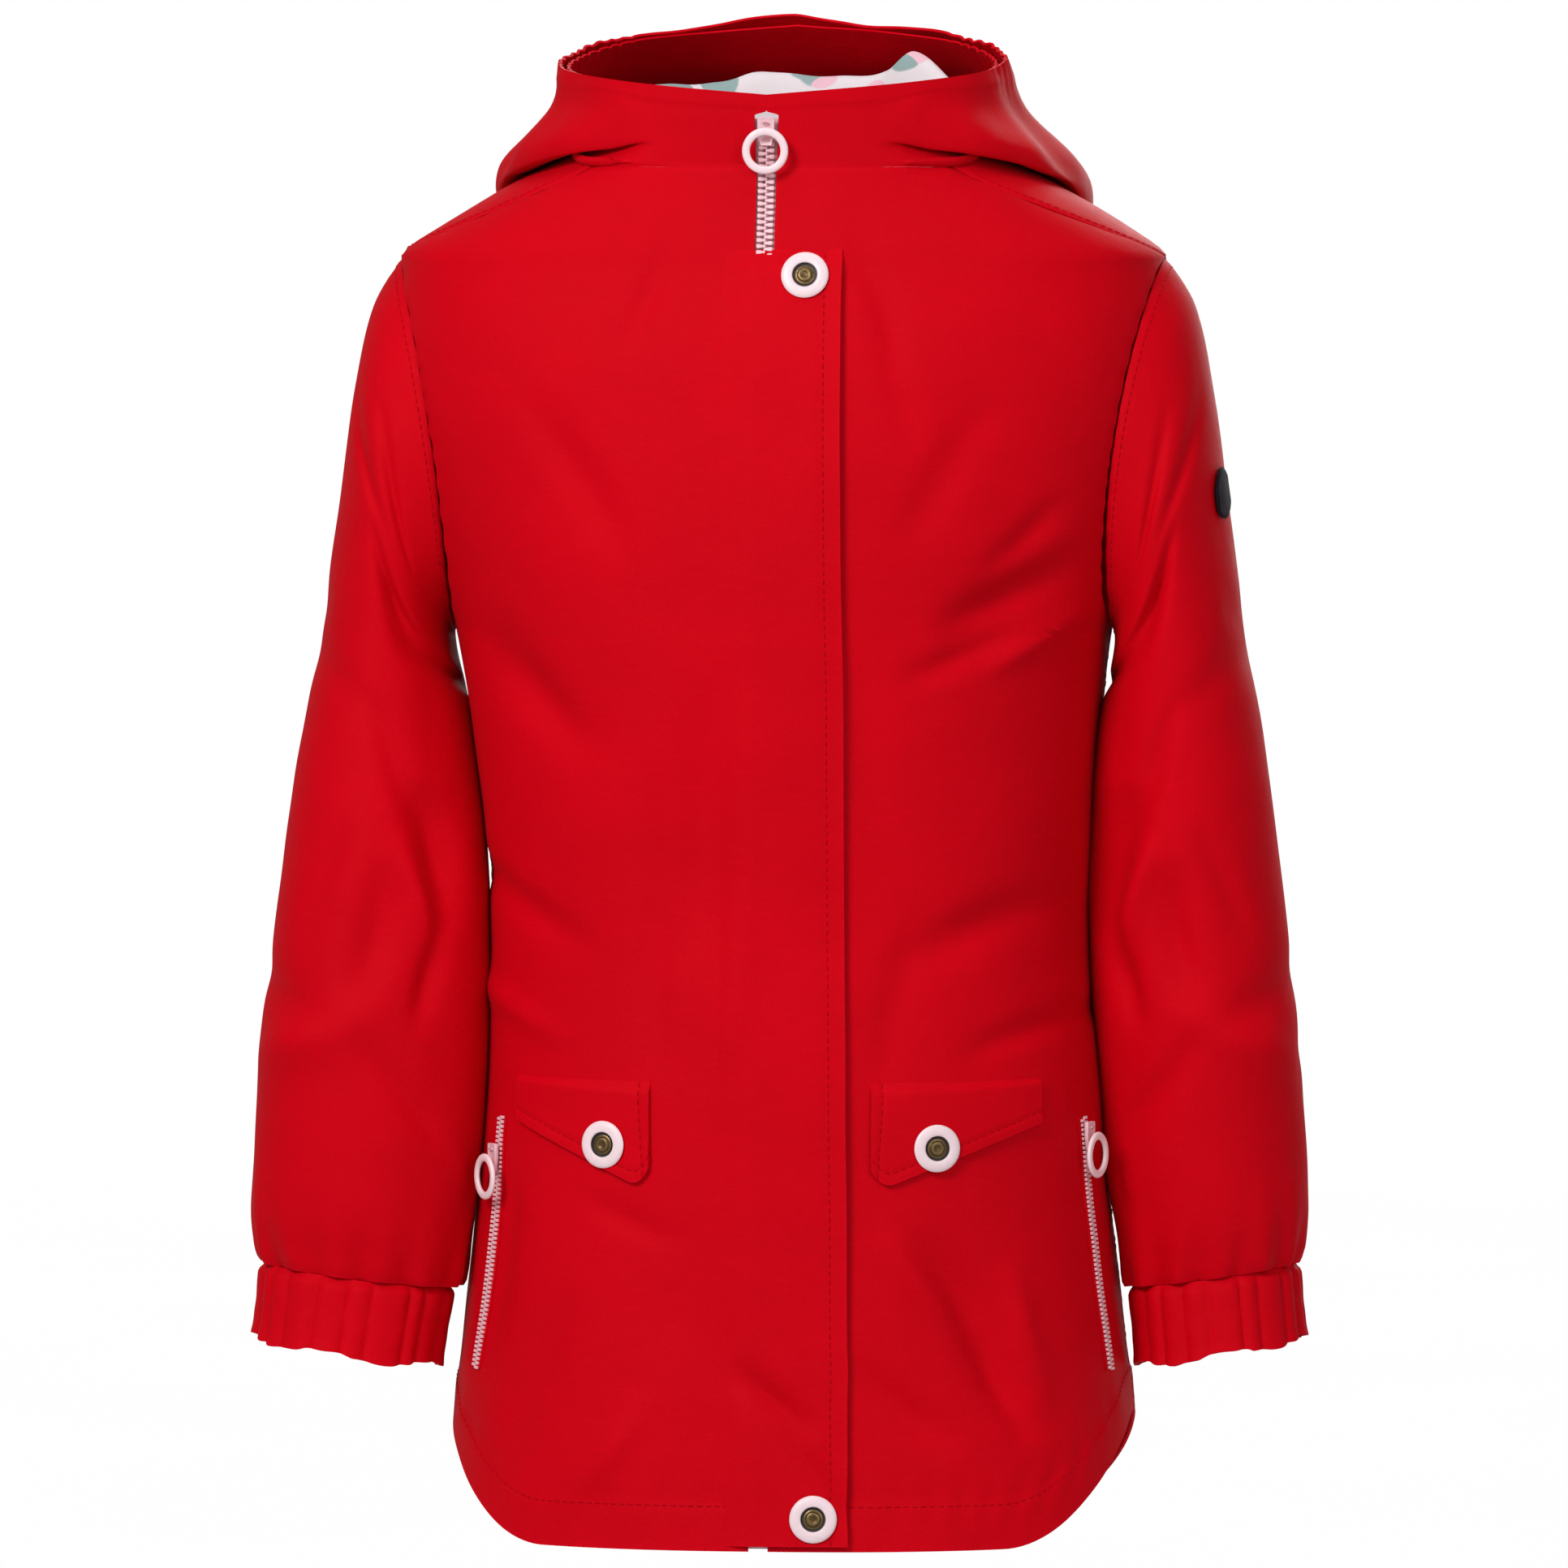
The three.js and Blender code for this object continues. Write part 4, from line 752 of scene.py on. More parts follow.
def finish_of(kind):
    """The scene's material of one kind, made the first time it is asked for."""
    if kind not in MADE:
        look = bpy.context.scene.jacket_look
        tint = {name: tuple(getattr(look, name)) for name in COLOURS}
        MADE[kind] = {
            "shell": lambda: shell_finish(tint["shell_colour"]),
            "thread": lambda: shell_finish(tint["thread_colour"], "thread", 3000, 0.1),
            "lining": lambda: lining_finish(tint["lining_colour"], tint["print_grey"], tint["print_pink"]),
            "trim": lambda: moulded_finish("snap_plastic", tint["trim_colour"], 0.34),
            "teeth": lambda: moulded_finish("zip_plastic", tint["zip_colour"], 0.4, 0.4),
            "tape": lambda: tape_finish(tint["zip_colour"]),
            "well": lambda: moulded_finish("snap_well", WELL_COLOUR, 0.5),
            "stud": lambda: brass_finish(tint["stud_colour"]),
            "badge": lambda: shell_finish(tint["badge_colour"], "badge_cloth", 1600, 0.2),
        }[kind]()
    return MADE[kind]


def shell_piece(name, grid, thickness, side=1, closed=False):
    """A piece of shell cloth on a grid, in place of the solid of its name."""
    piece = cloth_piece("cloth_" + name, grid, finish_of("shell"), thickness, side, closed)
    finish_piece(piece, "shell", name)


# Cloth pieces' own grids, kept for the stitching that lies on them
GRIDS = {}


def keep_grid(name, grid, out=1, closed=False):
    GRIDS[name] = (grid, grid_normals(grid, closed) * out)
    return grid


def panel_edge(side, z, ahead):
    """Angle of a torso panel's edge: side seam, armhole or forward shoulder seam."""
    away = -1 if ahead else 1
    seam = np.degrees(SEAM_GAP / 2 / column(TORSO, "z", "side", z))
    middle, reach = (ARM_TOP_Z + ARM_LOW_Z) / 2, (ARM_TOP_Z - ARM_LOW_Z) / 2 + SEAM_GAP
    c = np.clip((z - middle) / reach, -1, 1)
    turn = np.degrees(np.arccos(c)) * (1 if ahead else -1)
    edge = armhole_point(side, turn, SEAM_GAP)
    angle = np.degrees(np.arctan2(np.abs(edge[..., 0]), -edge[..., 1]))
    angle = np.minimum(angle, 90 - seam) if ahead else np.maximum(angle, 90 + seam)
    shoulder = column(SHOULDER_SEAM, "z", "angle", z) + away * seam
    armhole_up = np.where(z > middle + reach, shoulder, angle)
    return side * np.where(z < middle - reach, 90 + away * seam, armhole_up)


def torso_grid(start, end, even, cols):
    """A panel of the torso between two edges, as a grid of even rows."""
    angle = start + (end - start) * np.linspace(0, 1, cols)[None, :]
    return on_torso(angle, row_height(np.broadcast_to(even, angle.shape), angle))[0]


def edge_first(grid, edge):
    """A grid turned so that one of its edges is its first row."""
    turned = grid.swapaxes(0, 1) if edge in ("left", "right") else grid
    return turned[::-1] if edge in ("right", "high") else turned


def edge_distance(grid, edge):
    """Distance of each point of a grid from one of its edges, along the cloth."""
    steps = np.linalg.norm(np.diff(edge_first(grid, edge), axis=0), axis=-1)
    far = np.concatenate([np.zeros((1, steps.shape[1])), np.cumsum(steps, axis=0)])
    far = far[::-1] if edge in ("right", "high") else far
    return far.T if edge in ("left", "right") else far


def seam_lift(grid, edges, seed, depth=0.55, pucker=0.28):
    """Ditch and small puckers along sewn edges."""
    total = np.zeros(grid.shape[:2])
    for number, edge in enumerate(edges):
        far = edge_distance(grid, edge)
        wave = np.sin(soft_noise(grid, 60, seed + number) * 3 + grid[..., 2] * 0.62 + grid[..., 0] * 0.4)
        total += -depth * hump(far, 1.3) + pucker * wave * hump(far, 6)
    return total


def hem_lift(grid, edge, seed, width=18.0, rise=0.5):
    """Turned-up hem: a slightly proud band that ends in a stitched ditch with soft puckers."""
    far = edge_distance(grid, edge)
    wave = np.sin(soft_noise(grid, 70, seed) * 4 + grid[..., 0] * 0.36 + grid[..., 1] * 0.3)
    return (rise * (1 - smoothstep(far, width - 0.5, width + 2.5)) - 0.3 * hump(far - width, 1.6)
            + 0.32 * wave * hump(far - width, 9))


def raised(grid, lift, closed=False):
    return grid + grid_normals(grid, closed) * lift[..., None]


def inset_line(name, edge, distance):
    """Line of points and directions that runs inside a piece at a distance from one edge."""
    grid, normals = (edge_first(part, edge) for part in GRIDS[name])
    far = edge_distance(grid, "low")
    low = np.clip((far < distance).sum(axis=0) - 1, 0, grid.shape[0] - 2)
    cols = np.arange(grid.shape[1])
    t = np.clip((distance - far[low, cols]) / (far[low + 1, cols] - far[low, cols]), 0, 1)[:, None]
    return (grid[low, cols] * (1 - t) + grid[low + 1, cols] * t,
            unit(normals[low, cols] * (1 - t) + normals[low + 1, cols] * t))


def resampled(points, normals, pitch, closed=False):
    """Places at an even pitch along a line, with its directions along and out."""
    if closed:
        points, normals = np.concatenate([points, points[:1]]), np.concatenate([normals, normals[:1]])
    far = np.concatenate([[0], np.cumsum(np.linalg.norm(np.diff(points, axis=0), axis=-1))])
    at = np.arange(pitch / 2, far[-1], pitch)

    def between(rows, where):
        return np.stack([np.interp(where, far, rows[:, k]) for k in range(3)], axis=-1)
    places = between(points, at)
    return places, unit(between(points, at + 0.4) - places + 1e-6), unit(between(normals, at))


STITCH = {"length": 2.5, "width": 0.5, "height": 0.2}
STITCH_RINGS = np.array([(-1, 0, 0), (-0.7, 1, 0.9), (0, 1, 1), (0.7, 1, 0.9), (1, 0, 0)])


def stitch_mesh(runs, length, width, height):
    """Short flattened threads, pressed a little into the cloth at both ends."""
    vertices, faces = [], []
    for places, along, out in runs:
        aside = np.cross(along, out)
        for p, a, o, s in zip(places, along, out, aside):
            base = len(vertices)
            for share, wide, high in STITCH_RINGS:
                middle = p + a * (share * length / 2) + o * (0.12 * high - 0.06)
                if wide == 0:
                    vertices.append(middle)
                else:
                    vertices += [middle + s * width / 2, middle + o * height * high, middle - s * width / 2,
                                 middle - o * height * 0.6]
            rings = [base + 1, base + 5, base + 9]
            for k in range(4):
                n = (k + 1) % 4
                faces.append((base, rings[0] + n, rings[0] + k))
                for r, q in zip(rings, rings[1:]):
                    faces.append((r + k, r + n, q + n, q + k))
                faces.append((base + 13, rings[2] + k, rings[2] + n))
    return vertices, faces


def stitch_piece(name, runs):
    vertices, faces = stitch_mesh(runs, STITCH["length"], STITCH["width"], STITCH["height"])
    piece = mesh_piece(name, vertices, faces, finish_of("thread"))
    face_outward(piece)
    finish_piece(piece, "shell")


class JACKET_OT_torso(bpy.types.Operator):
    """Cuts and creases the two fronts and the back"""
    bl_idname = "jacket.torso"
    bl_label = "Fronts and back"

    def execute(self, context):
        look = context.scene.jacket_look
        for name, side in pair("front"):
            even = np.linspace(HEM_Z, NECK_FRONT_Z + SEAM_GAP, look.rows)[:, None]
            start = angle_at_x(np.full(even.shape, side * ZIP_SLOT), even)
            grid = torso_grid(start, panel_edge(side, even, True), even, look.rows // 3)
            sewn = seam_lift(grid, ["right"], 100 + side) + hem_lift(grid, "low", 7 + side)
            grid = keep_grid(name, raised(grid, sewn * side), side)
            shell_piece(name, grid, look.cloth * PER_METRE, side=side)
        even = np.linspace(HEM_Z, 0, look.rows)[:, None]
        left, right = panel_edge(1, even, False), 360 + panel_edge(-1, even, False)
        grid = torso_grid(left, right, even, look.rows * 2 // 3)
        sewn = seam_lift(grid, ["left", "right"], 200) + hem_lift(grid, "low", 17)
        grid = keep_grid("back", raised(grid, sewn))
        shell_piece("back", grid, look.cloth * PER_METRE)
        return {"FINISHED"}


class JACKET_OT_sleeves(bpy.types.Operator):
    """Hangs the two sleeves with their elbow creases and the gathers above the cuffs"""
    bl_idname = "jacket.sleeves"
    bl_label = "Sleeves"

    def execute(self, context):
        look = context.scene.jacket_look
        turns = np.linspace(0, 360, look.rows * 3 // 5, endpoint=False)[None, :]
        along = np.linspace(0.1, SLEEVE_END, look.rows * 4 // 5)[:, None]
        for name, side in pair("sleeve"):
            grid = sleeve_face(side, turns, along)
            grid = raised(grid, side * seam_lift(grid, ["low", "high"], 300 + side, 0.6, 0.2), True)
            keep_grid(name, grid, side, True)
            shell_piece(name, grid, look.cloth * PER_METRE, side=side, closed=True)
        return {"FINISHED"}


class JACKET_OT_cuffs(bpy.types.Operator):
    """Pleats the two elastic cuffs"""
    bl_idname = "jacket.cuffs"
    bl_label = "Elastic cuffs"

    def execute(self, context):
        turns = np.linspace(0, 360, 300, endpoint=False)[None, :]
        for name, side in pair("cuff"):
            grid = cuff_face(side, turns, np.linspace(0.0, 1, 26)[:, None])
            shell_piece(name, grid, 1.6, side=side, closed=True)
        return {"FINISHED"}


class JACKET_OT_hood(bpy.types.Operator):
    """Folds the hood back and gathers its rim"""
    bl_idname = "jacket.hood"
    bl_label = "Hood"

    def execute(self, context):
        look = context.scene.jacket_look
        share = np.concatenate([np.linspace(0, 0.6, 40, endpoint=False), np.linspace(0.6, 1, 60)])[:, None]
        slot = HOOD_SLOT + (RIM_SLOT - HOOD_SLOT) * smoothstep(share, 0.85, 0.875)
        angle = slot + (360 - 2 * slot) * np.linspace(0, 1, look.rows * 6 // 5)[None, :]
        share = np.broadcast_to(share, angle.shape)
        grid = hood_grid(angle, share)
        grid = raised(grid, hood_lift(grid, angle, share))
        shell_piece("hood", grid, look.cloth * PER_METRE)
        return {"FINISHED"}


def rim_gathers(angle):
    """Small folds of the elastic behind each side of the hood's rim."""
    away = away_from_front(angle)
    held = smoothstep(away, 70, 86) * (1 - smoothstep(away, 122, 140))
    shift = np.where(np.mod(angle, 360) > 180, 1.3, 0)
    phase = (away - 70) / 5.3 * 2 * math.pi + 0.9 * np.sin(away * 0.35) + shift
    return held * (np.abs(np.sin(phase / 2)) ** 0.8 - 0.6)


def hood_lift(grid, angle, share):
    away = away_from_front(angle)
    near_rim = smoothstep(share, 0.78, 1.0)
    lift = 1.5 * rim_gathers(angle) * near_rim**1.5
    drag = smoothstep(away, 60, 85) * (1 - smoothstep(away, 140, 165)) * smoothstep(share, 0.5, 0.75)
    lift = lift + 0.7 * drag * np.sin(np.radians(away) * 16 + 2.2 * share * 3) * (1 - near_rim * 0.5)
    bag = smoothstep(away, 100, 140)
    place = grid * np.array([1, 1, 0.55])
    lift = lift + (0.8 + 1.1 * bag) * soft_noise(place, 58, 41) + 0.35 * soft_noise(grid, 26, 42)
    front = 1 - smoothstep(away, 40, 60)
    band = 0.35 * smoothstep(share, 0.87, 0.9) * (1 - bag)
    return lift * (1 - 0.75 * front) * smoothstep(share, 0, 0.08) + band


class JACKET_OT_hood_inside(bpy.types.Operator):
    """Adds the gathered band inside the rim and the printed lining behind the neck"""
    bl_idname = "jacket.hood_inside"
    bl_label = "Hood facing and lining"

    def execute(self, context):
        angle = np.linspace(70, 290, 330)[None, :]
        share = np.linspace(9.4, 10.94, 16)[:, None] / 11
        angle, share = np.broadcast_arrays(angle, share)
        base = hood_grid(angle, share)
        inward = FACING_INSET + FACING_FOLD * np.maximum(0, -rim_gathers(angle))
        inward = inward + 0.35 * (soft_noise(base, 40, 71) + 1)
        grid = base - grid_normals(base) * inward[..., None]
        shell_piece("hood_facing", grid, 0.8)
        angle = np.linspace(108, 250, 150)
        neck = torso_smooth(angle, neck_height(angle))
        top = column(LINING_TOP, "angle", "z", angle)
        section = np.stack([
            point(neck[:, 0], neck[:, 1], top * part - drop) + ray_at(angle) * (out - LINING_INSET)
            for out, part, drop in zip(*(LINING_SECTION[name] for name in ("out", "share", "drop")))
        ], axis=-2)
        share = np.linspace(0, 1, 44)[:, None] * np.ones((1, len(angle)))
        grid = spline(np.broadcast_to(section, (44,) + section.shape), share)
        grid = raised(grid, -0.7 * soft_noise(grid, 22, 73) * smoothstep(share, 0.1, 0.4))
        piece = cloth_piece("cloth_hood_lining", grid, finish_of("lining"), 0.7, -1)
        finish_piece(piece, "lining", "hood_lining")
        return {"FINISHED"}


class JACKET_OT_flaps(bpy.types.Operator):
    """Lays the storm flap over the zip and the two pocket flaps on the fronts"""
    bl_idname = "jacket.flaps"
    bl_label = "Storm flap and pocket flaps"

    def execute(self, context):
        share = np.linspace(0, 1, 40)[None, :]
        z = np.linspace(STORM_LOW_Z, STORM_TOP_Z, 260)[:, None]
        down = (z - STORM_TOP_Z) / (HEM_Z - STORM_TOP_Z)
        x = STORM_FIXED_X + (STORM_FREE_X + STORM_WIDENS * down - STORM_FIXED_X) * share
        angle = angle_at_x(x, z)
        z = np.broadcast_to(z, x.shape)
        far = x - STORM_FIXED_X
        rise = -0.1 + 2.92 * smoothstep(far, 0, 15) * smoothstep(STORM_TOP_Z - z, -1, 9)
        grid = on_torso(angle, z, rise)[0]
        from_edge = edge_distance(grid, "right")
        lip = 0.8 * hump(from_edge, 2.2) - 0.25 * hump(from_edge - 7, 1.2)
        loose = 0.7 * soft_noise(grid * np.array([1, 1, 0.6]), 66, 81) * smoothstep(far, 26, 44)
        grid = raised(grid, lip * smoothstep(far, 20, 30) + np.maximum(loose, -0.5))
        shell_piece("storm_flap", keep_grid("storm_flap", grid), FLAP_THICKNESS)
        for name, side in pair("pocket_flap"):
            tip = np.linspace(0, FLAP_TIP, 22, endpoint=False)
            across = np.concatenate([tip, np.linspace(FLAP_TIP, 1, 44)])[None, ::side]
            up = 1 - np.linspace(0, 1, 40)[:, None]
            x = side * (FLAP_INNER_X + FLAP_WIDTH[side] * across)
            corner = np.maximum(0, 1 - across / FLAP_TIP)
            drop = FLAP_INNER_DROP + (FLAP_OUTER_DROP - FLAP_INNER_DROP) * across - FLAP_CORNER * corner**2.4
            x, z = np.broadcast_arrays(x, FLAP_TOP_Z - drop * up)
            rise = 0.25 + 1.75 * smoothstep(up, 0.0, 0.14) + 0.4 * smoothstep(up, 0.5, 1)
            grid = on_torso(angle_at_x(x, z), z, np.broadcast_to(rise, x.shape))[0]
            edges = ("low", "left" if side > 0 else "right")
            groove = sum(-0.3 * hump(edge_distance(grid, edge) - 4.5, 0.9) for edge in edges)
            grid = keep_grid(name, raised(grid, groove + 0.22 * soft_noise(grid, 30, 90 + side)))
            shell_piece(name, grid, FLAP_THICKNESS)
        return {"FINISHED"}


# Hard pieces


def fresh(operator, **settings):
    """Adds a primitive with nothing else selected and opens it in edit mode."""
    bpy.ops.object.select_all(action="DESELECT")
    operator(**settings)
    piece = bpy.context.view_layer.objects.active
    bpy.ops.object.mode_set(mode="EDIT")
    bpy.ops.mesh.select_all(action="SELECT")
    return piece


def move(x, y, z):
    bpy.ops.transform.translate(value=(x * MM, y * MM, z * MM))


def widen(x, y, z):
    """Scales what is selected about the origin."""
    bpy.ops.transform.resize(value=(x, y, z), center_override=(0, 0, 0))


def extrude(x, y, z):
    bpy.ops.mesh.extrude_region_move(TRANSFORM_OT_translate={"value": (x * MM, y * MM, z * MM)})


def pick(piece, kind, test):
    """In edit mode, selects only the faces or edges whose middle passes a test."""
    bpy.ops.mesh.select_mode(type=kind)
    bpy.ops.mesh.select_all(action="DESELECT")
    shape = bmesh.from_edit_mesh(piece.data)
    for part in shape.faces if kind == "FACE" else shape.edges:
        middle = part.calc_center_median() if kind == "FACE" else (part.verts[0].co + part.verts[1].co) / 2
        if test(middle / MM, part):
            part.select_set(True)
    bmesh.update_edit_mesh(piece.data)


def close_piece(piece, name, matrix, *materials, angle=35):
    """Ends edit mode, applies the place and gives the piece its name and finishes."""
    bpy.ops.mesh.select_all(action="SELECT")
    bpy.ops.mesh.normals_make_consistent(inside=False)
    bpy.ops.object.mode_set(mode="OBJECT")
    piece.name = piece.data.name = name
    for material in materials:
        piece.data.materials.append(material)
    only(piece)
    bpy.ops.object.transform_apply(location=True, rotation=True, scale=True)
    bpy.ops.object.shade_smooth_by_angle(angle=math.radians(angle))
    piece.data.transform(matrix)
    return piece


def turned(name, profile, matrix, *materials, segments=48):
    """A turned piece: a disc drawn up ring by ring through radii and heights in millimetres."""
    radius, height = profile[0]
    piece = fresh(bpy.ops.mesh.primitive_circle_add, vertices=segments, radius=radius * MM, fill_type="NGON")
    move(0, 0, height)
    for next_radius, next_height in profile[1:]:
        extrude(0, 0, next_height - height)
        widen(next_radius / radius, next_radius / radius, 1)
        radius, height = next_radius, next_height
    return close_piece(piece, name, matrix, *materials)


def frame_at(place, out):
    """Matrix that seats a piece: its Z along `out`, its Y as near as can be upright; metres."""
    z = Vector(out).normalized()
    y = Vector((0, 0, 1))
    y = (y - z * y.dot(z)).normalized()
    x = y.cross(z)
    turn = Matrix((x, y, z)).transposed().to_4x4()
    return Matrix.Translation(Vector(place)) @ turn


# Place of each snap and its height over the torso: the storm flap lies higher than the pocket flaps
SNAPS = {"top": (16, -53.5, 3.0), "hem": (21, -522.5, 3.0), "pocket_left": (66, -382.5, 2.3),
         "pocket_right": (-59.5, -382, 2.3)}
# Turned forms, as radii and heights
CAP_PROFILE = [(8.2, 0), (8.8, 0.15), (9, 0.6), (8.7, 1.05), (7.9, 1.4), (6.8, 1.62), (5.6, 1.66), (5.0, 1.5),
               (4.72, 1.15), (4.6, 0.5), (4.3, 0.4)]
STUD_PROFILE = [(3.7, 0.42), (3.7, 0.62), (3.45, 0.75), (2.9, 0.78), (2.75, 0.9), (2.55, 1.3), (2.1, 1.5),
                (1.5, 1.46), (1.1, 1.2), (0.6, 1.12)]
WELL_RADIUS, WELL_FLOOR = 4.8, 0.2


class JACKET_OT_snaps(bpy.types.Operator):
    """Turns the four press snaps: a domed cap with a dark well and a brass stud"""
    bl_idname = "jacket.snaps"
    bl_label = "Press snaps"

    def execute(self, context):
        for name, (x, z, rise) in SNAPS.items():
            x, z, rise = np.array([x]), np.array([z]), np.array([rise])
            place, out = on_torso(angle_at_x(x, z), z, rise)
            seat = frame_at(place[0] * MM, out[0])
            cap = turned("snap_cap_" + name + "_fine", CAP_PROFILE, seat, finish_of("trim"),
                         finish_of("well"))
            for face in cap.data.polygons:
                flat = (seat.inverted() @ face.center) / MM
                face.material_index = int(math.hypot(flat.x, flat.y) < WELL_RADIUS and flat.z > WELL_FLOOR)
            finish_piece(cap, "trim", "snap_cap_" + name)
            stud = turned("snap_stud_" + name + "_fine", STUD_PROFILE, seat, finish_of("stud"), segments=36)
            finish_piece(stud, "stud", "snap_stud_" + name)
        return {"FINISHED"}


def pull_seat(joint):
    """Place of a slider's arch and the level direction out of its zip, from the ring's hinge."""
    axis = Vector(joint["axis"])
    out = Vector((-axis.y, axis.x, 0)) if axis.x < 0 else Vector((axis.y, -axis.x, 0))
    return Vector(joint["pos_m"]), -out if out.y > 0 else out


def slider_piece(name, matrix):
    """Slider body: a tapered plate with rounded edges and a groove on top; its arch is a piece of its own."""
    piece = fresh(bpy.ops.mesh.primitive_cube_add, size=1)
    bpy.ops.transform.resize(value=(6.4 * MM, 10.6 * MM, 1.7 * MM))
    move(0, 0, 0.95)
    bpy.ops.mesh.subdivide(number_cuts=1)
    pick(piece, "EDGE", lambda m, e: m.y < -5 and abs(m.z - 0.95) < 0.9)
    widen(0.66, 1, 1)
    pick(piece, "FACE", lambda m, f: f.normal.z > 0.9)
    bpy.ops.mesh.inset(thickness=0.75 * MM, use_even_offset=True)
    move(0, 0, -0.45)
    pick(piece, "EDGE", lambda m, e: len(e.link_faces) == 2 and e.calc_face_angle(0) > 0.6)
    bpy.ops.mesh.bevel(offset=0.28 * MM, segments=2, affect="EDGES")
    return close_piece(piece, name, matrix, finish_of("teeth"), angle=40)


def arch_piece(name, matrix):
    """Arch on the slider in which the ring hangs: a bar spun over in a half circle."""
    piece = fresh(bpy.ops.mesh.primitive_circle_add, vertices=14, radius=0.62 * MM, fill_type="NGON")
    widen(1.9, 0.8, 1)
    move(0, -3.1, 0.9)
    extrude(0, 0, 1.5)
    bpy.ops.mesh.spin(steps=14, angle=-math.pi, center=(0, 0, 2.4 * MM), axis=(1, 0, 0))
    extrude(0, 0, -1.5)
    return close_piece(piece, name, matrix, finish_of("teeth"), angle=50)


class JACKET_OT_pulls(bpy.types.Operator):
    """Makes the three sliders and the rings that swing on them"""
    bl_idname = "jacket.pulls"
    bl_label = "Sliders and ring pulls"

    def execute(self, context):
        for joint in frame["joints"]:
            name = joint["name"].replace("_ring_swing", "")
            hinge, out = pull_seat(joint)
            seat = frame_at(hinge - out * ARCH_HEIGHT * MM, out)
            finish_piece(slider_piece(name + "_slider_plate", seat), "zip", name + "_slider")
            finish_piece(arch_piece(name + "_slider_arch", seat), "zip")
            piece = fresh(bpy.ops.mesh.primitive_torus_add, major_segments=64, minor_segments=16,
                          major_radius=RING_RADIUS * MM, minor_radius=1.5 * MM)
            widen(1, 1, 0.66)
            pick(piece, "FACE", lambda m, f: abs(m.z) > 0.93)
            widen(1, 1, 0.9)
            ring_seat = frame_at(hinge - Vector((0, 0, RING_RADIUS * MM)), out)
            ring = close_piece(piece, name + "_ring_fine", ring_seat, finish_of("trim"), angle=60)
            finish_piece(ring, "trim", name + "_ring", body=joint["child"])
        return {"FINISHED"}


def tooth_piece():
    """One moulded tooth: a block narrowed to a neck, with a rounded head."""
    piece = fresh(bpy.ops.mesh.primitive_cube_add, size=1)
    bpy.ops.transform.resize(value=(1.5 * MM, 1.55 * MM, 1.5 * MM))
    pick(piece, "FACE", lambda m, f: f.normal.x > 0.9)
    extrude(1.0, 0, 0)
    bpy.ops.transform.resize(value=(1, 0.62, 0.8))
    extrude(0.85, 0, 0)
    bpy.ops.transform.resize(value=(1, 1.5, 1.05))
    bpy.ops.mesh.select_all(action="SELECT")
    bpy.ops.mesh.bevel(offset=0.2 * MM, segments=1, affect="EDGES")
    return close_piece(piece, "tooth", Matrix.Identity(4))


def chain_of_teeth(name, tooth, places, along, out, size):
    """Two rows of teeth that mesh in the middle of a line, as one piece."""
    shape = np.array([v.co for v in tooth.data.vertices]) / MM * size
    polygons = [list(p.vertices) for p in tooth.data.polygons]
    vertices, faces = [], []
    aside = np.cross(along, out)
    for number, (p, a, o, s) in enumerate(zip(places, along, out, aside)):
        side = 1 if number % 2 else -1
        base = len(vertices)
        start = p - s * side * TOOTH_REACH * size
        vertices += list(start + shape[:, :1] * s * side + shape[:, 1:2] * a + shape[:, 2:] * o)
        faces += [[base + k for k in (polygon if side > 0 else polygon[::-1])] for polygon in polygons]
    piece = mesh_piece(name, vertices, faces, finish_of("teeth"))
    face_outward(piece)
    only(piece)
    bpy.ops.object.shade_smooth_by_angle(angle=math.radians(40))
    return piece


def on_closure(x, z, out):
    """Places over the front closure: on the torso, or on the standing front of the hood above it."""
    x, z = np.broadcast_arrays(np.asarray(x, float), np.asarray(z, float))
    low = np.minimum(z, NECK_FRONT_Z)
    angle = angle_at_x(x, low)
    place, normal = on_torso(angle, low, np.full(x.shape, out))
    rim = rim_point(angle) + normal * out
    share = np.maximum(0, (z - NECK_FRONT_Z) / (rim[..., 2] - NECK_FRONT_Z))[..., None]
    return place + (rim - place) * share, normal


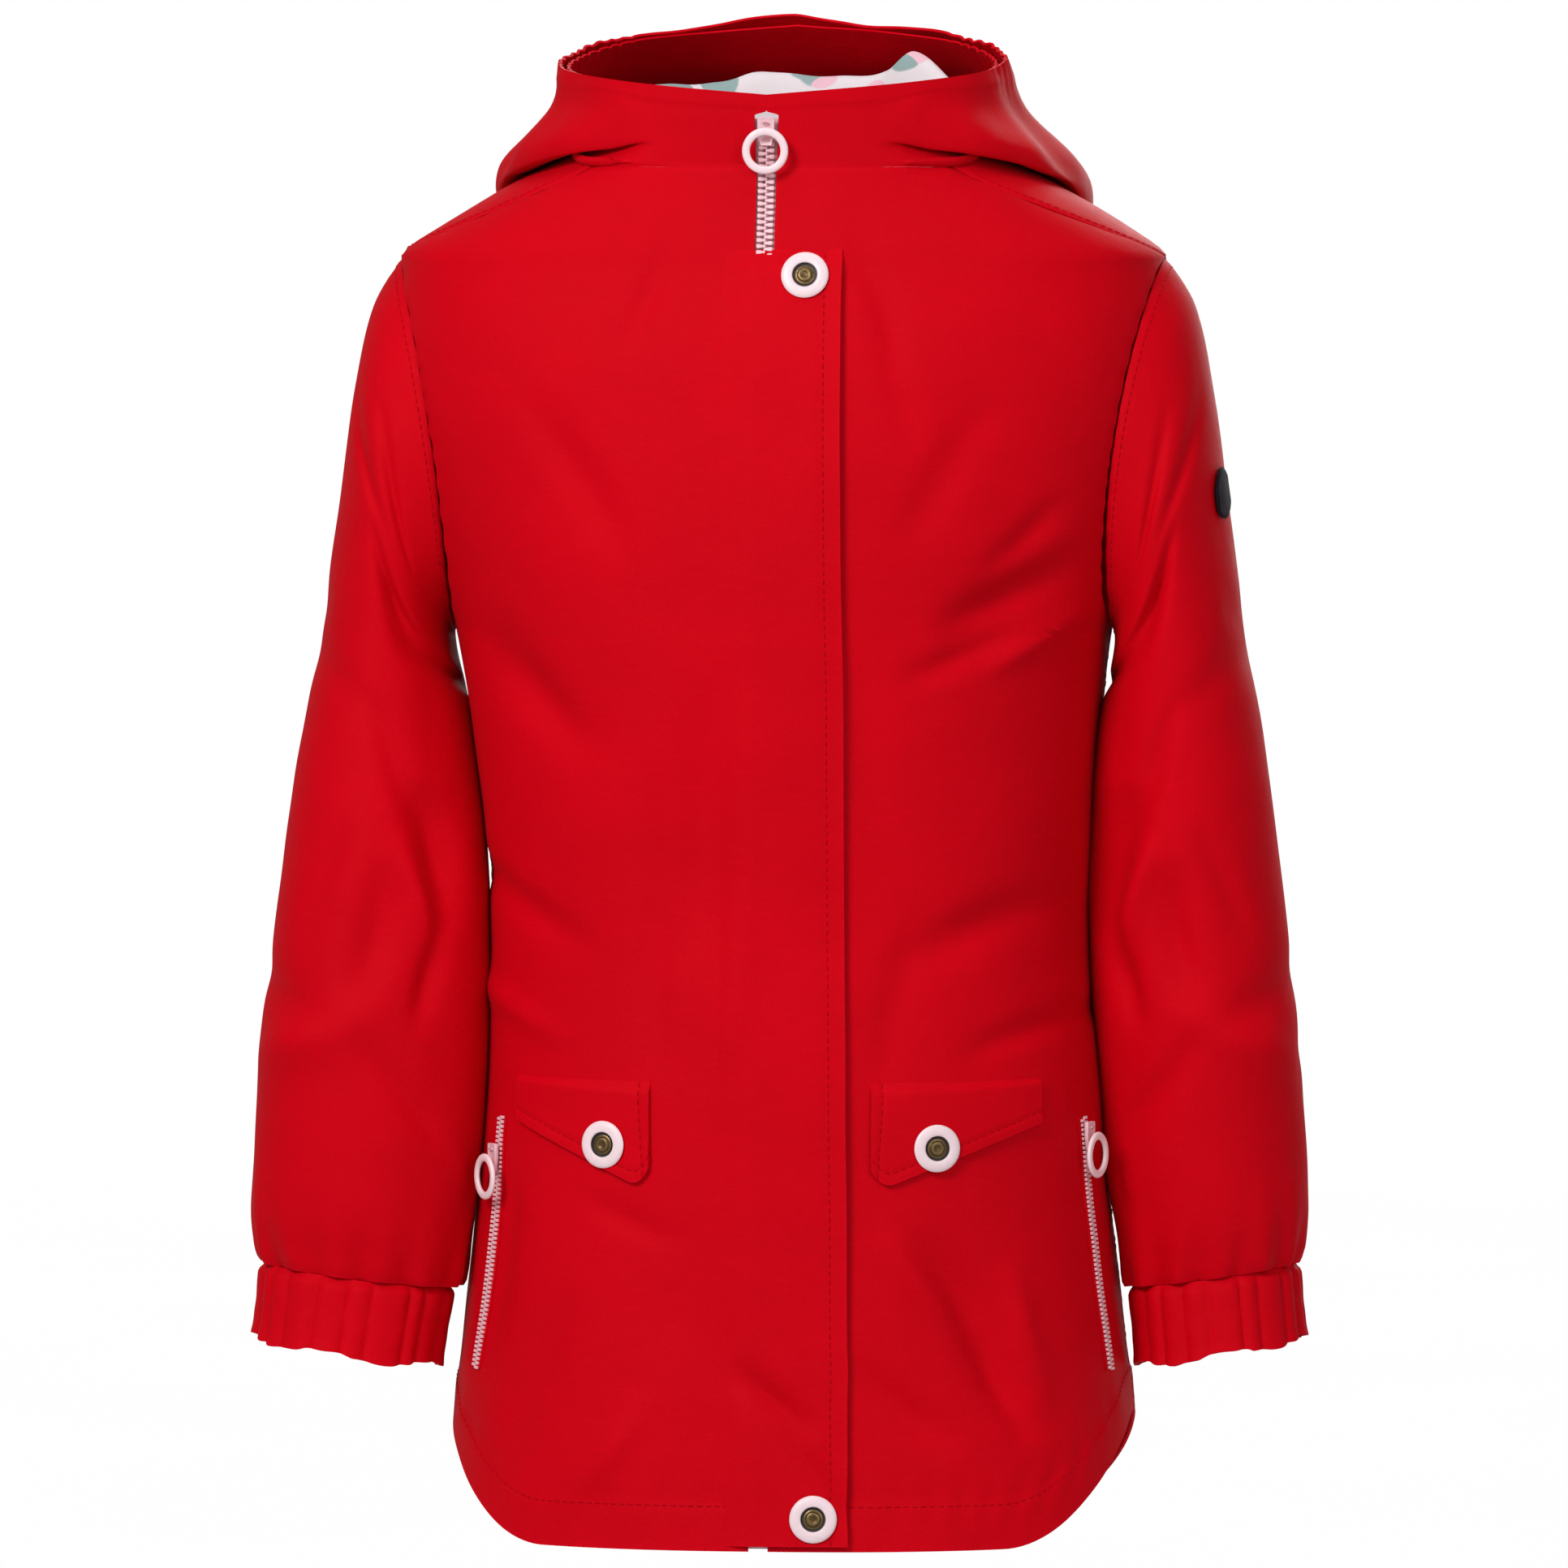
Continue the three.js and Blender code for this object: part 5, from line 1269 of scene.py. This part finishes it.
class JACKET_OT_zips(bpy.types.Operator):
    """Sets the teeth and tapes of the front zip and the two pocket zips"""
    bl_idname = "jacket.zips"
    bl_label = "Zips"

    def execute(self, context):
        look = context.scene.jacket_look
        tooth = tooth_piece()
        pitch = look.tooth_pitch * PER_METRE / 2
        z = np.linspace(TEETH_LOW_Z, TEETH_TOP_Z, 900)
        line, out = on_closure(np.zeros_like(z), z, -0.2)
        chain = chain_of_teeth("main_teeth", tooth, *resampled(line, out, pitch), 1.0)
        finish_piece(chain, "zip", "main_zip_chain")
        z = np.linspace(TAPE_LOW_Z, TAPE_TOP_Z, 200)[:, None]
        grid, _ = on_closure(np.linspace(-12, 12, 14)[None, :], z, -2.2)
        tape = cloth_piece("main_tape", grid, finish_of("tape"), 0.7)
        finish_piece(tape, "zip", "main_zip_tape")
        for name, side in pair("pocket_zip"):
            z = np.linspace(POCKET_ZIP_LOW_Z, POCKET_ZIP_TOP_Z, 120)
            share = (POCKET_ZIP_TOP_Z - z) / (POCKET_ZIP_TOP_Z - POCKET_ZIP_LOW_Z)
            angle = side * (POCKET_ZIP_ANGLE[side] + POCKET_ZIP_TURN * share)
            line, out = on_torso(angle, z, np.full(z.shape, 0.9))
            places = resampled(line, out, SMALL_TOOTH * pitch)
            chain = chain_of_teeth(name + "_teeth", tooth, *places, SMALL_TOOTH)
            finish_piece(chain, "zip", name)
            wide = np.linspace(-3.4, 3.4, 8)[None, :] / column(TORSO, "z", "side", z)[:, None]
            height = np.broadcast_to(z[:, None], wide.shape)
            grid = on_torso(angle[:, None] + np.degrees(wide), height, np.full(wide.shape, 0.55))[0]
            tape = cloth_piece(name + "_tape", grid, finish_of("shell"), 0.5)
            finish_piece(tape, "zip")
        bpy.data.objects.remove(tooth)
        return {"FINISHED"}


class JACKET_OT_badge(bpy.types.Operator):
    """Adds the plain dark patch on the left sleeve"""
    bl_idname = "jacket.badge"
    bl_label = "Sleeve patch"

    def execute(self, context):
        u, v = np.meshgrid(np.linspace(-1, 1, 36), np.linspace(-1, 1, 36))
        along = BADGE_ALONG - v * BADGE_HALF_LENGTH * np.sqrt(1 - 0.93 * u * u)
        turn = BADGE_TURN + BADGE_HALF_TURN * u
        far = np.maximum(np.abs(u), np.abs(v))
        grid = on_sleeve(1, turn, along, 1.25 - 0.35 * smoothstep(far, 0.78, 1))[0]
        grid = raised(grid, -0.22 * hump(far - 0.86, 0.07))
        piece = cloth_piece("patch", grid, finish_of("badge"), 0.7)
        finish_piece(piece, "badge", "sleeve_badge")
        return {"FINISHED"}


class JACKET_OT_stitching(bpy.types.Operator):
    """Sews the hems, seams and flap edges with short raised stitches"""
    bl_idname = "jacket.stitching"
    bl_label = "Stitching"

    def execute(self, context):
        pitch = context.scene.jacket_look.stitch_pitch * PER_METRE
        runs = {
            "torso_stitching": [("front_left", "low", 17), ("front_right", "low", 17), ("back", "low", 17),
                                ("back", "left", 4), ("back", "right", 4)],
            "sleeve_stitching": [("sleeve_left", "low", 4), ("sleeve_right", "low", 4)],
            "flap_stitching": [("storm_flap", "right", 6.5), ("pocket_flap_left", "low", 4.5),
                               ("pocket_flap_left", "left", 4.5), ("pocket_flap_right", "low", 4.5),
                               ("pocket_flap_right", "right", 4.5)],
        }
        for name, lines in runs.items():
            made = [resampled(*inset_line(*line), pitch, line[0].startswith("sleeve")) for line in lines]
            stitch_piece(name, made)
        return {"FINISHED"}


# Stage, panel and running order

# The photograph's camera, in degrees, and where camera and lights point, in metres
CAMERA_AZIMUTH, CAMERA_ELEVATION = 5.5, 3
CAMERA_AIM, LIGHT_AIM = Vector((0.0, 0.0, -0.2495)), Vector((0, 0, -0.24))


class JACKET_OT_stage(bpy.types.Operator):
    """Sets the pale floor, the soft lights and the camera at the photograph's angle"""
    bl_idname = "jacket.stage"
    bl_label = "Stage, light and camera"

    def execute(self, context):
        look = context.scene.jacket_look
        bpy.ops.object.select_all(action="DESELECT")
        bpy.ops.mesh.primitive_grid_add(x_subdivisions=4, y_subdivisions=4, size=8,
                                        location=(0, 0, look.floor_height))
        floor = context.view_layer.objects.active
        floor.name = "floor"
        bpy.ops.object.transform_apply(location=True)
        white = Finish("studio_floor", roughness=0.9)
        mottle = white.noise(white.coordinates("Object"), 3, 3)
        white.set(base_color=white.mix(mottle, (0.5, 0.5, 0.5, 1), (0.54, 0.54, 0.54, 1)))
        paper = white.mix(mottle, (1, 1, 1, 1), (0.99, 0.99, 0.99, 1))
        glow = white.node("ShaderNodeEmission", {}, {"Color": paper})
        both = white.for_camera(Socket(white, white.shader.outputs[0]), glow)
        white.plug(white.tree.nodes["Material Output"].inputs[0], both)
        floor.data.materials.append(white.material)
        for name, place, size, watts in (
            ("key", (-1.3, -2.6, 1.5), 1.3, look.key_power),
            ("fill", (1.7, -2.8, 0.6), 1.8, look.fill_power),
            ("top", (0.1, -0.3, 1.9), 1.4, look.top_power),
            ("rear", (0.4, 2.6, 0.7), 2.0, 2 * look.fill_power),
        ):
            data = bpy.data.lights.new(name, "AREA")
            data.energy, data.shape, data.size = watts, "DISK", size
            lamp = bpy.data.objects.new(name, data)
            context.collection.objects.link(lamp)
            lamp.location = place
            lamp.rotation_mode = "QUATERNION"
            lamp.rotation_quaternion = (LIGHT_AIM - Vector(place)).to_track_quat("-Z", "Y")
        world = bpy.data.worlds.new("studio")
        context.scene.world = world
        world.use_nodes = True
        sky = Nodes(world.node_tree)
        light = sky.tree.nodes["Background"]
        sky.plug(light.inputs["Color"], (1, 1, 1, 1))
        sky.plug(light.inputs["Strength"], look.sky_light)
        seen = sky.node("ShaderNodeBackground", {}, {"Color": (1, 1, 1, 1), "Strength": 1.0})
        both = sky.for_camera(Socket(sky, light.outputs[0]), seen)
        sky.plug(sky.tree.nodes["World Output"].inputs[0], both)
        azimuth, elevation = math.radians(CAMERA_AZIMUTH), math.radians(CAMERA_ELEVATION)
        back = Vector((math.sin(azimuth) * math.cos(elevation), -math.cos(azimuth) * math.cos(elevation),
                       math.sin(elevation)))
        camera = bpy.data.objects.new("camera", bpy.data.cameras.new("camera"))
        context.collection.objects.link(camera)
        camera.location = CAMERA_AIM + back * look.camera_distance
        camera.rotation_mode = "QUATERNION"
        camera.rotation_quaternion = (-back).to_track_quat("-Z", "Y")
        camera.data.lens = look.lens
        camera.data.clip_start = 0.05
        context.scene.camera = camera
        context.scene.view_settings.view_transform = "Standard"
        return {"FINISHED"}


PIECES = (JACKET_OT_torso, JACKET_OT_sleeves, JACKET_OT_cuffs, JACKET_OT_hood, JACKET_OT_hood_inside,
          JACKET_OT_flaps, JACKET_OT_zips, JACKET_OT_pulls, JACKET_OT_snaps, JACKET_OT_badge,
          JACKET_OT_stitching, JACKET_OT_stage)


def colour(name, description, value):
    return bpy.props.FloatVectorProperty(name=name, description=description, default=value, size=4,
                                         min=0, max=1, subtype="COLOR")


def length(name, description, value):
    return bpy.props.FloatProperty(name=name, description=description, default=value, min=0, unit="LENGTH")


def power(name, description, value):
    return bpy.props.FloatProperty(name=name, description=description, default=value, min=0, unit="POWER")


class JacketLook(bpy.types.PropertyGroup):
    """Sizes and colours of the jacket's looks"""
    rows: bpy.props.IntProperty(name="Rows of cloth", description="Rows of points down each front",
                                default=210)
    cloth: length("Shell thickness", "Thickness of the shell cloth", 0.0011)
    tooth_pitch: length("Tooth pitch", "Distance between teeth on one side of a zip", 0.0024)
    stitch_pitch: length("Stitch pitch", "Distance from one stitch to the next", 0.0034)
    shell_colour: colour("Shell", "Coated shell cloth", (0.62, 0, 0.0065, 1))
    thread_colour: colour("Thread", "Sewing thread", (0.5, 0.0, 0.008, 1))
    lining_colour: colour("Lining", "Ground of the printed lining", (0.82, 0.75, 0.78, 1))
    print_grey: colour("Print, grey", "Grey-green patches of the lining", (0.26, 0.4, 0.39, 1))
    print_pink: colour("Print, pink", "Pink patches of the lining", (0.87, 0.5, 0.6, 1))
    trim_colour: colour("Snaps and rings", "Pale moulded plastic", (0.92, 0.72, 0.76, 1))
    zip_colour: colour("Zip teeth", "Pale moulded teeth", (0.86, 0.55, 0.6, 1))
    stud_colour: colour("Studs", "Darkened brass", (0.16, 0.1, 0.04, 1))
    badge_colour: colour("Patch", "Dark patch", (0.012, 0.01, 0.016, 1))
    floor_height: bpy.props.FloatProperty(name="Floor", description="Height of the floor", default=-0.72,
                                          unit="LENGTH")
    camera_distance: length("Camera distance", "Distance from the camera to the middle of the jacket", 6.0)
    lens: bpy.props.FloatProperty(name="Lens", description="Focal length", default=358.8, unit="CAMERA")
    key_power: power("Key light", "Large soft light from the left", 66)
    fill_power: power("Fill light", "Large soft light from the right", 21)
    top_power: power("Top light", "Soft light from above", 10)
    sky_light: bpy.props.FloatProperty(name="Sky", description="Strength of the even white light",
                                       default=0.3)


class JACKET_PT_panel(bpy.types.Panel):
    """Lists the jacket's sizes, colours and pieces"""
    bl_idname = "JACKET_PT_panel"
    bl_label = "Rain jacket"
    bl_space_type = "VIEW_3D"
    bl_region_type = "UI"
    bl_category = "Jacket"

    def draw(self, context):
        for name in JacketLook.__annotations__:
            self.layout.prop(context.scene.jacket_look, name)
        for piece in PIECES:
            self.layout.operator(piece.bl_idname)


def register():
    for kind in (JacketLook, *PIECES, JACKET_PT_panel):
        bpy.utils.register_class(kind)
    bpy.types.Scene.jacket_look = bpy.props.PointerProperty(type=JacketLook)


def unregister():
    del bpy.types.Scene.jacket_look
    for kind in (JACKET_PT_panel, *reversed(PIECES), JacketLook):
        bpy.utils.unregister_class(kind)


def main():
    register()
    for piece in PIECES:
        group, name = piece.bl_idname.split(".")
        if getattr(getattr(bpy.ops, group), name)() != {"FINISHED"}:
            raise RuntimeError(f"{piece.bl_label} didn't finish")


if __name__ == "__main__":
    main()
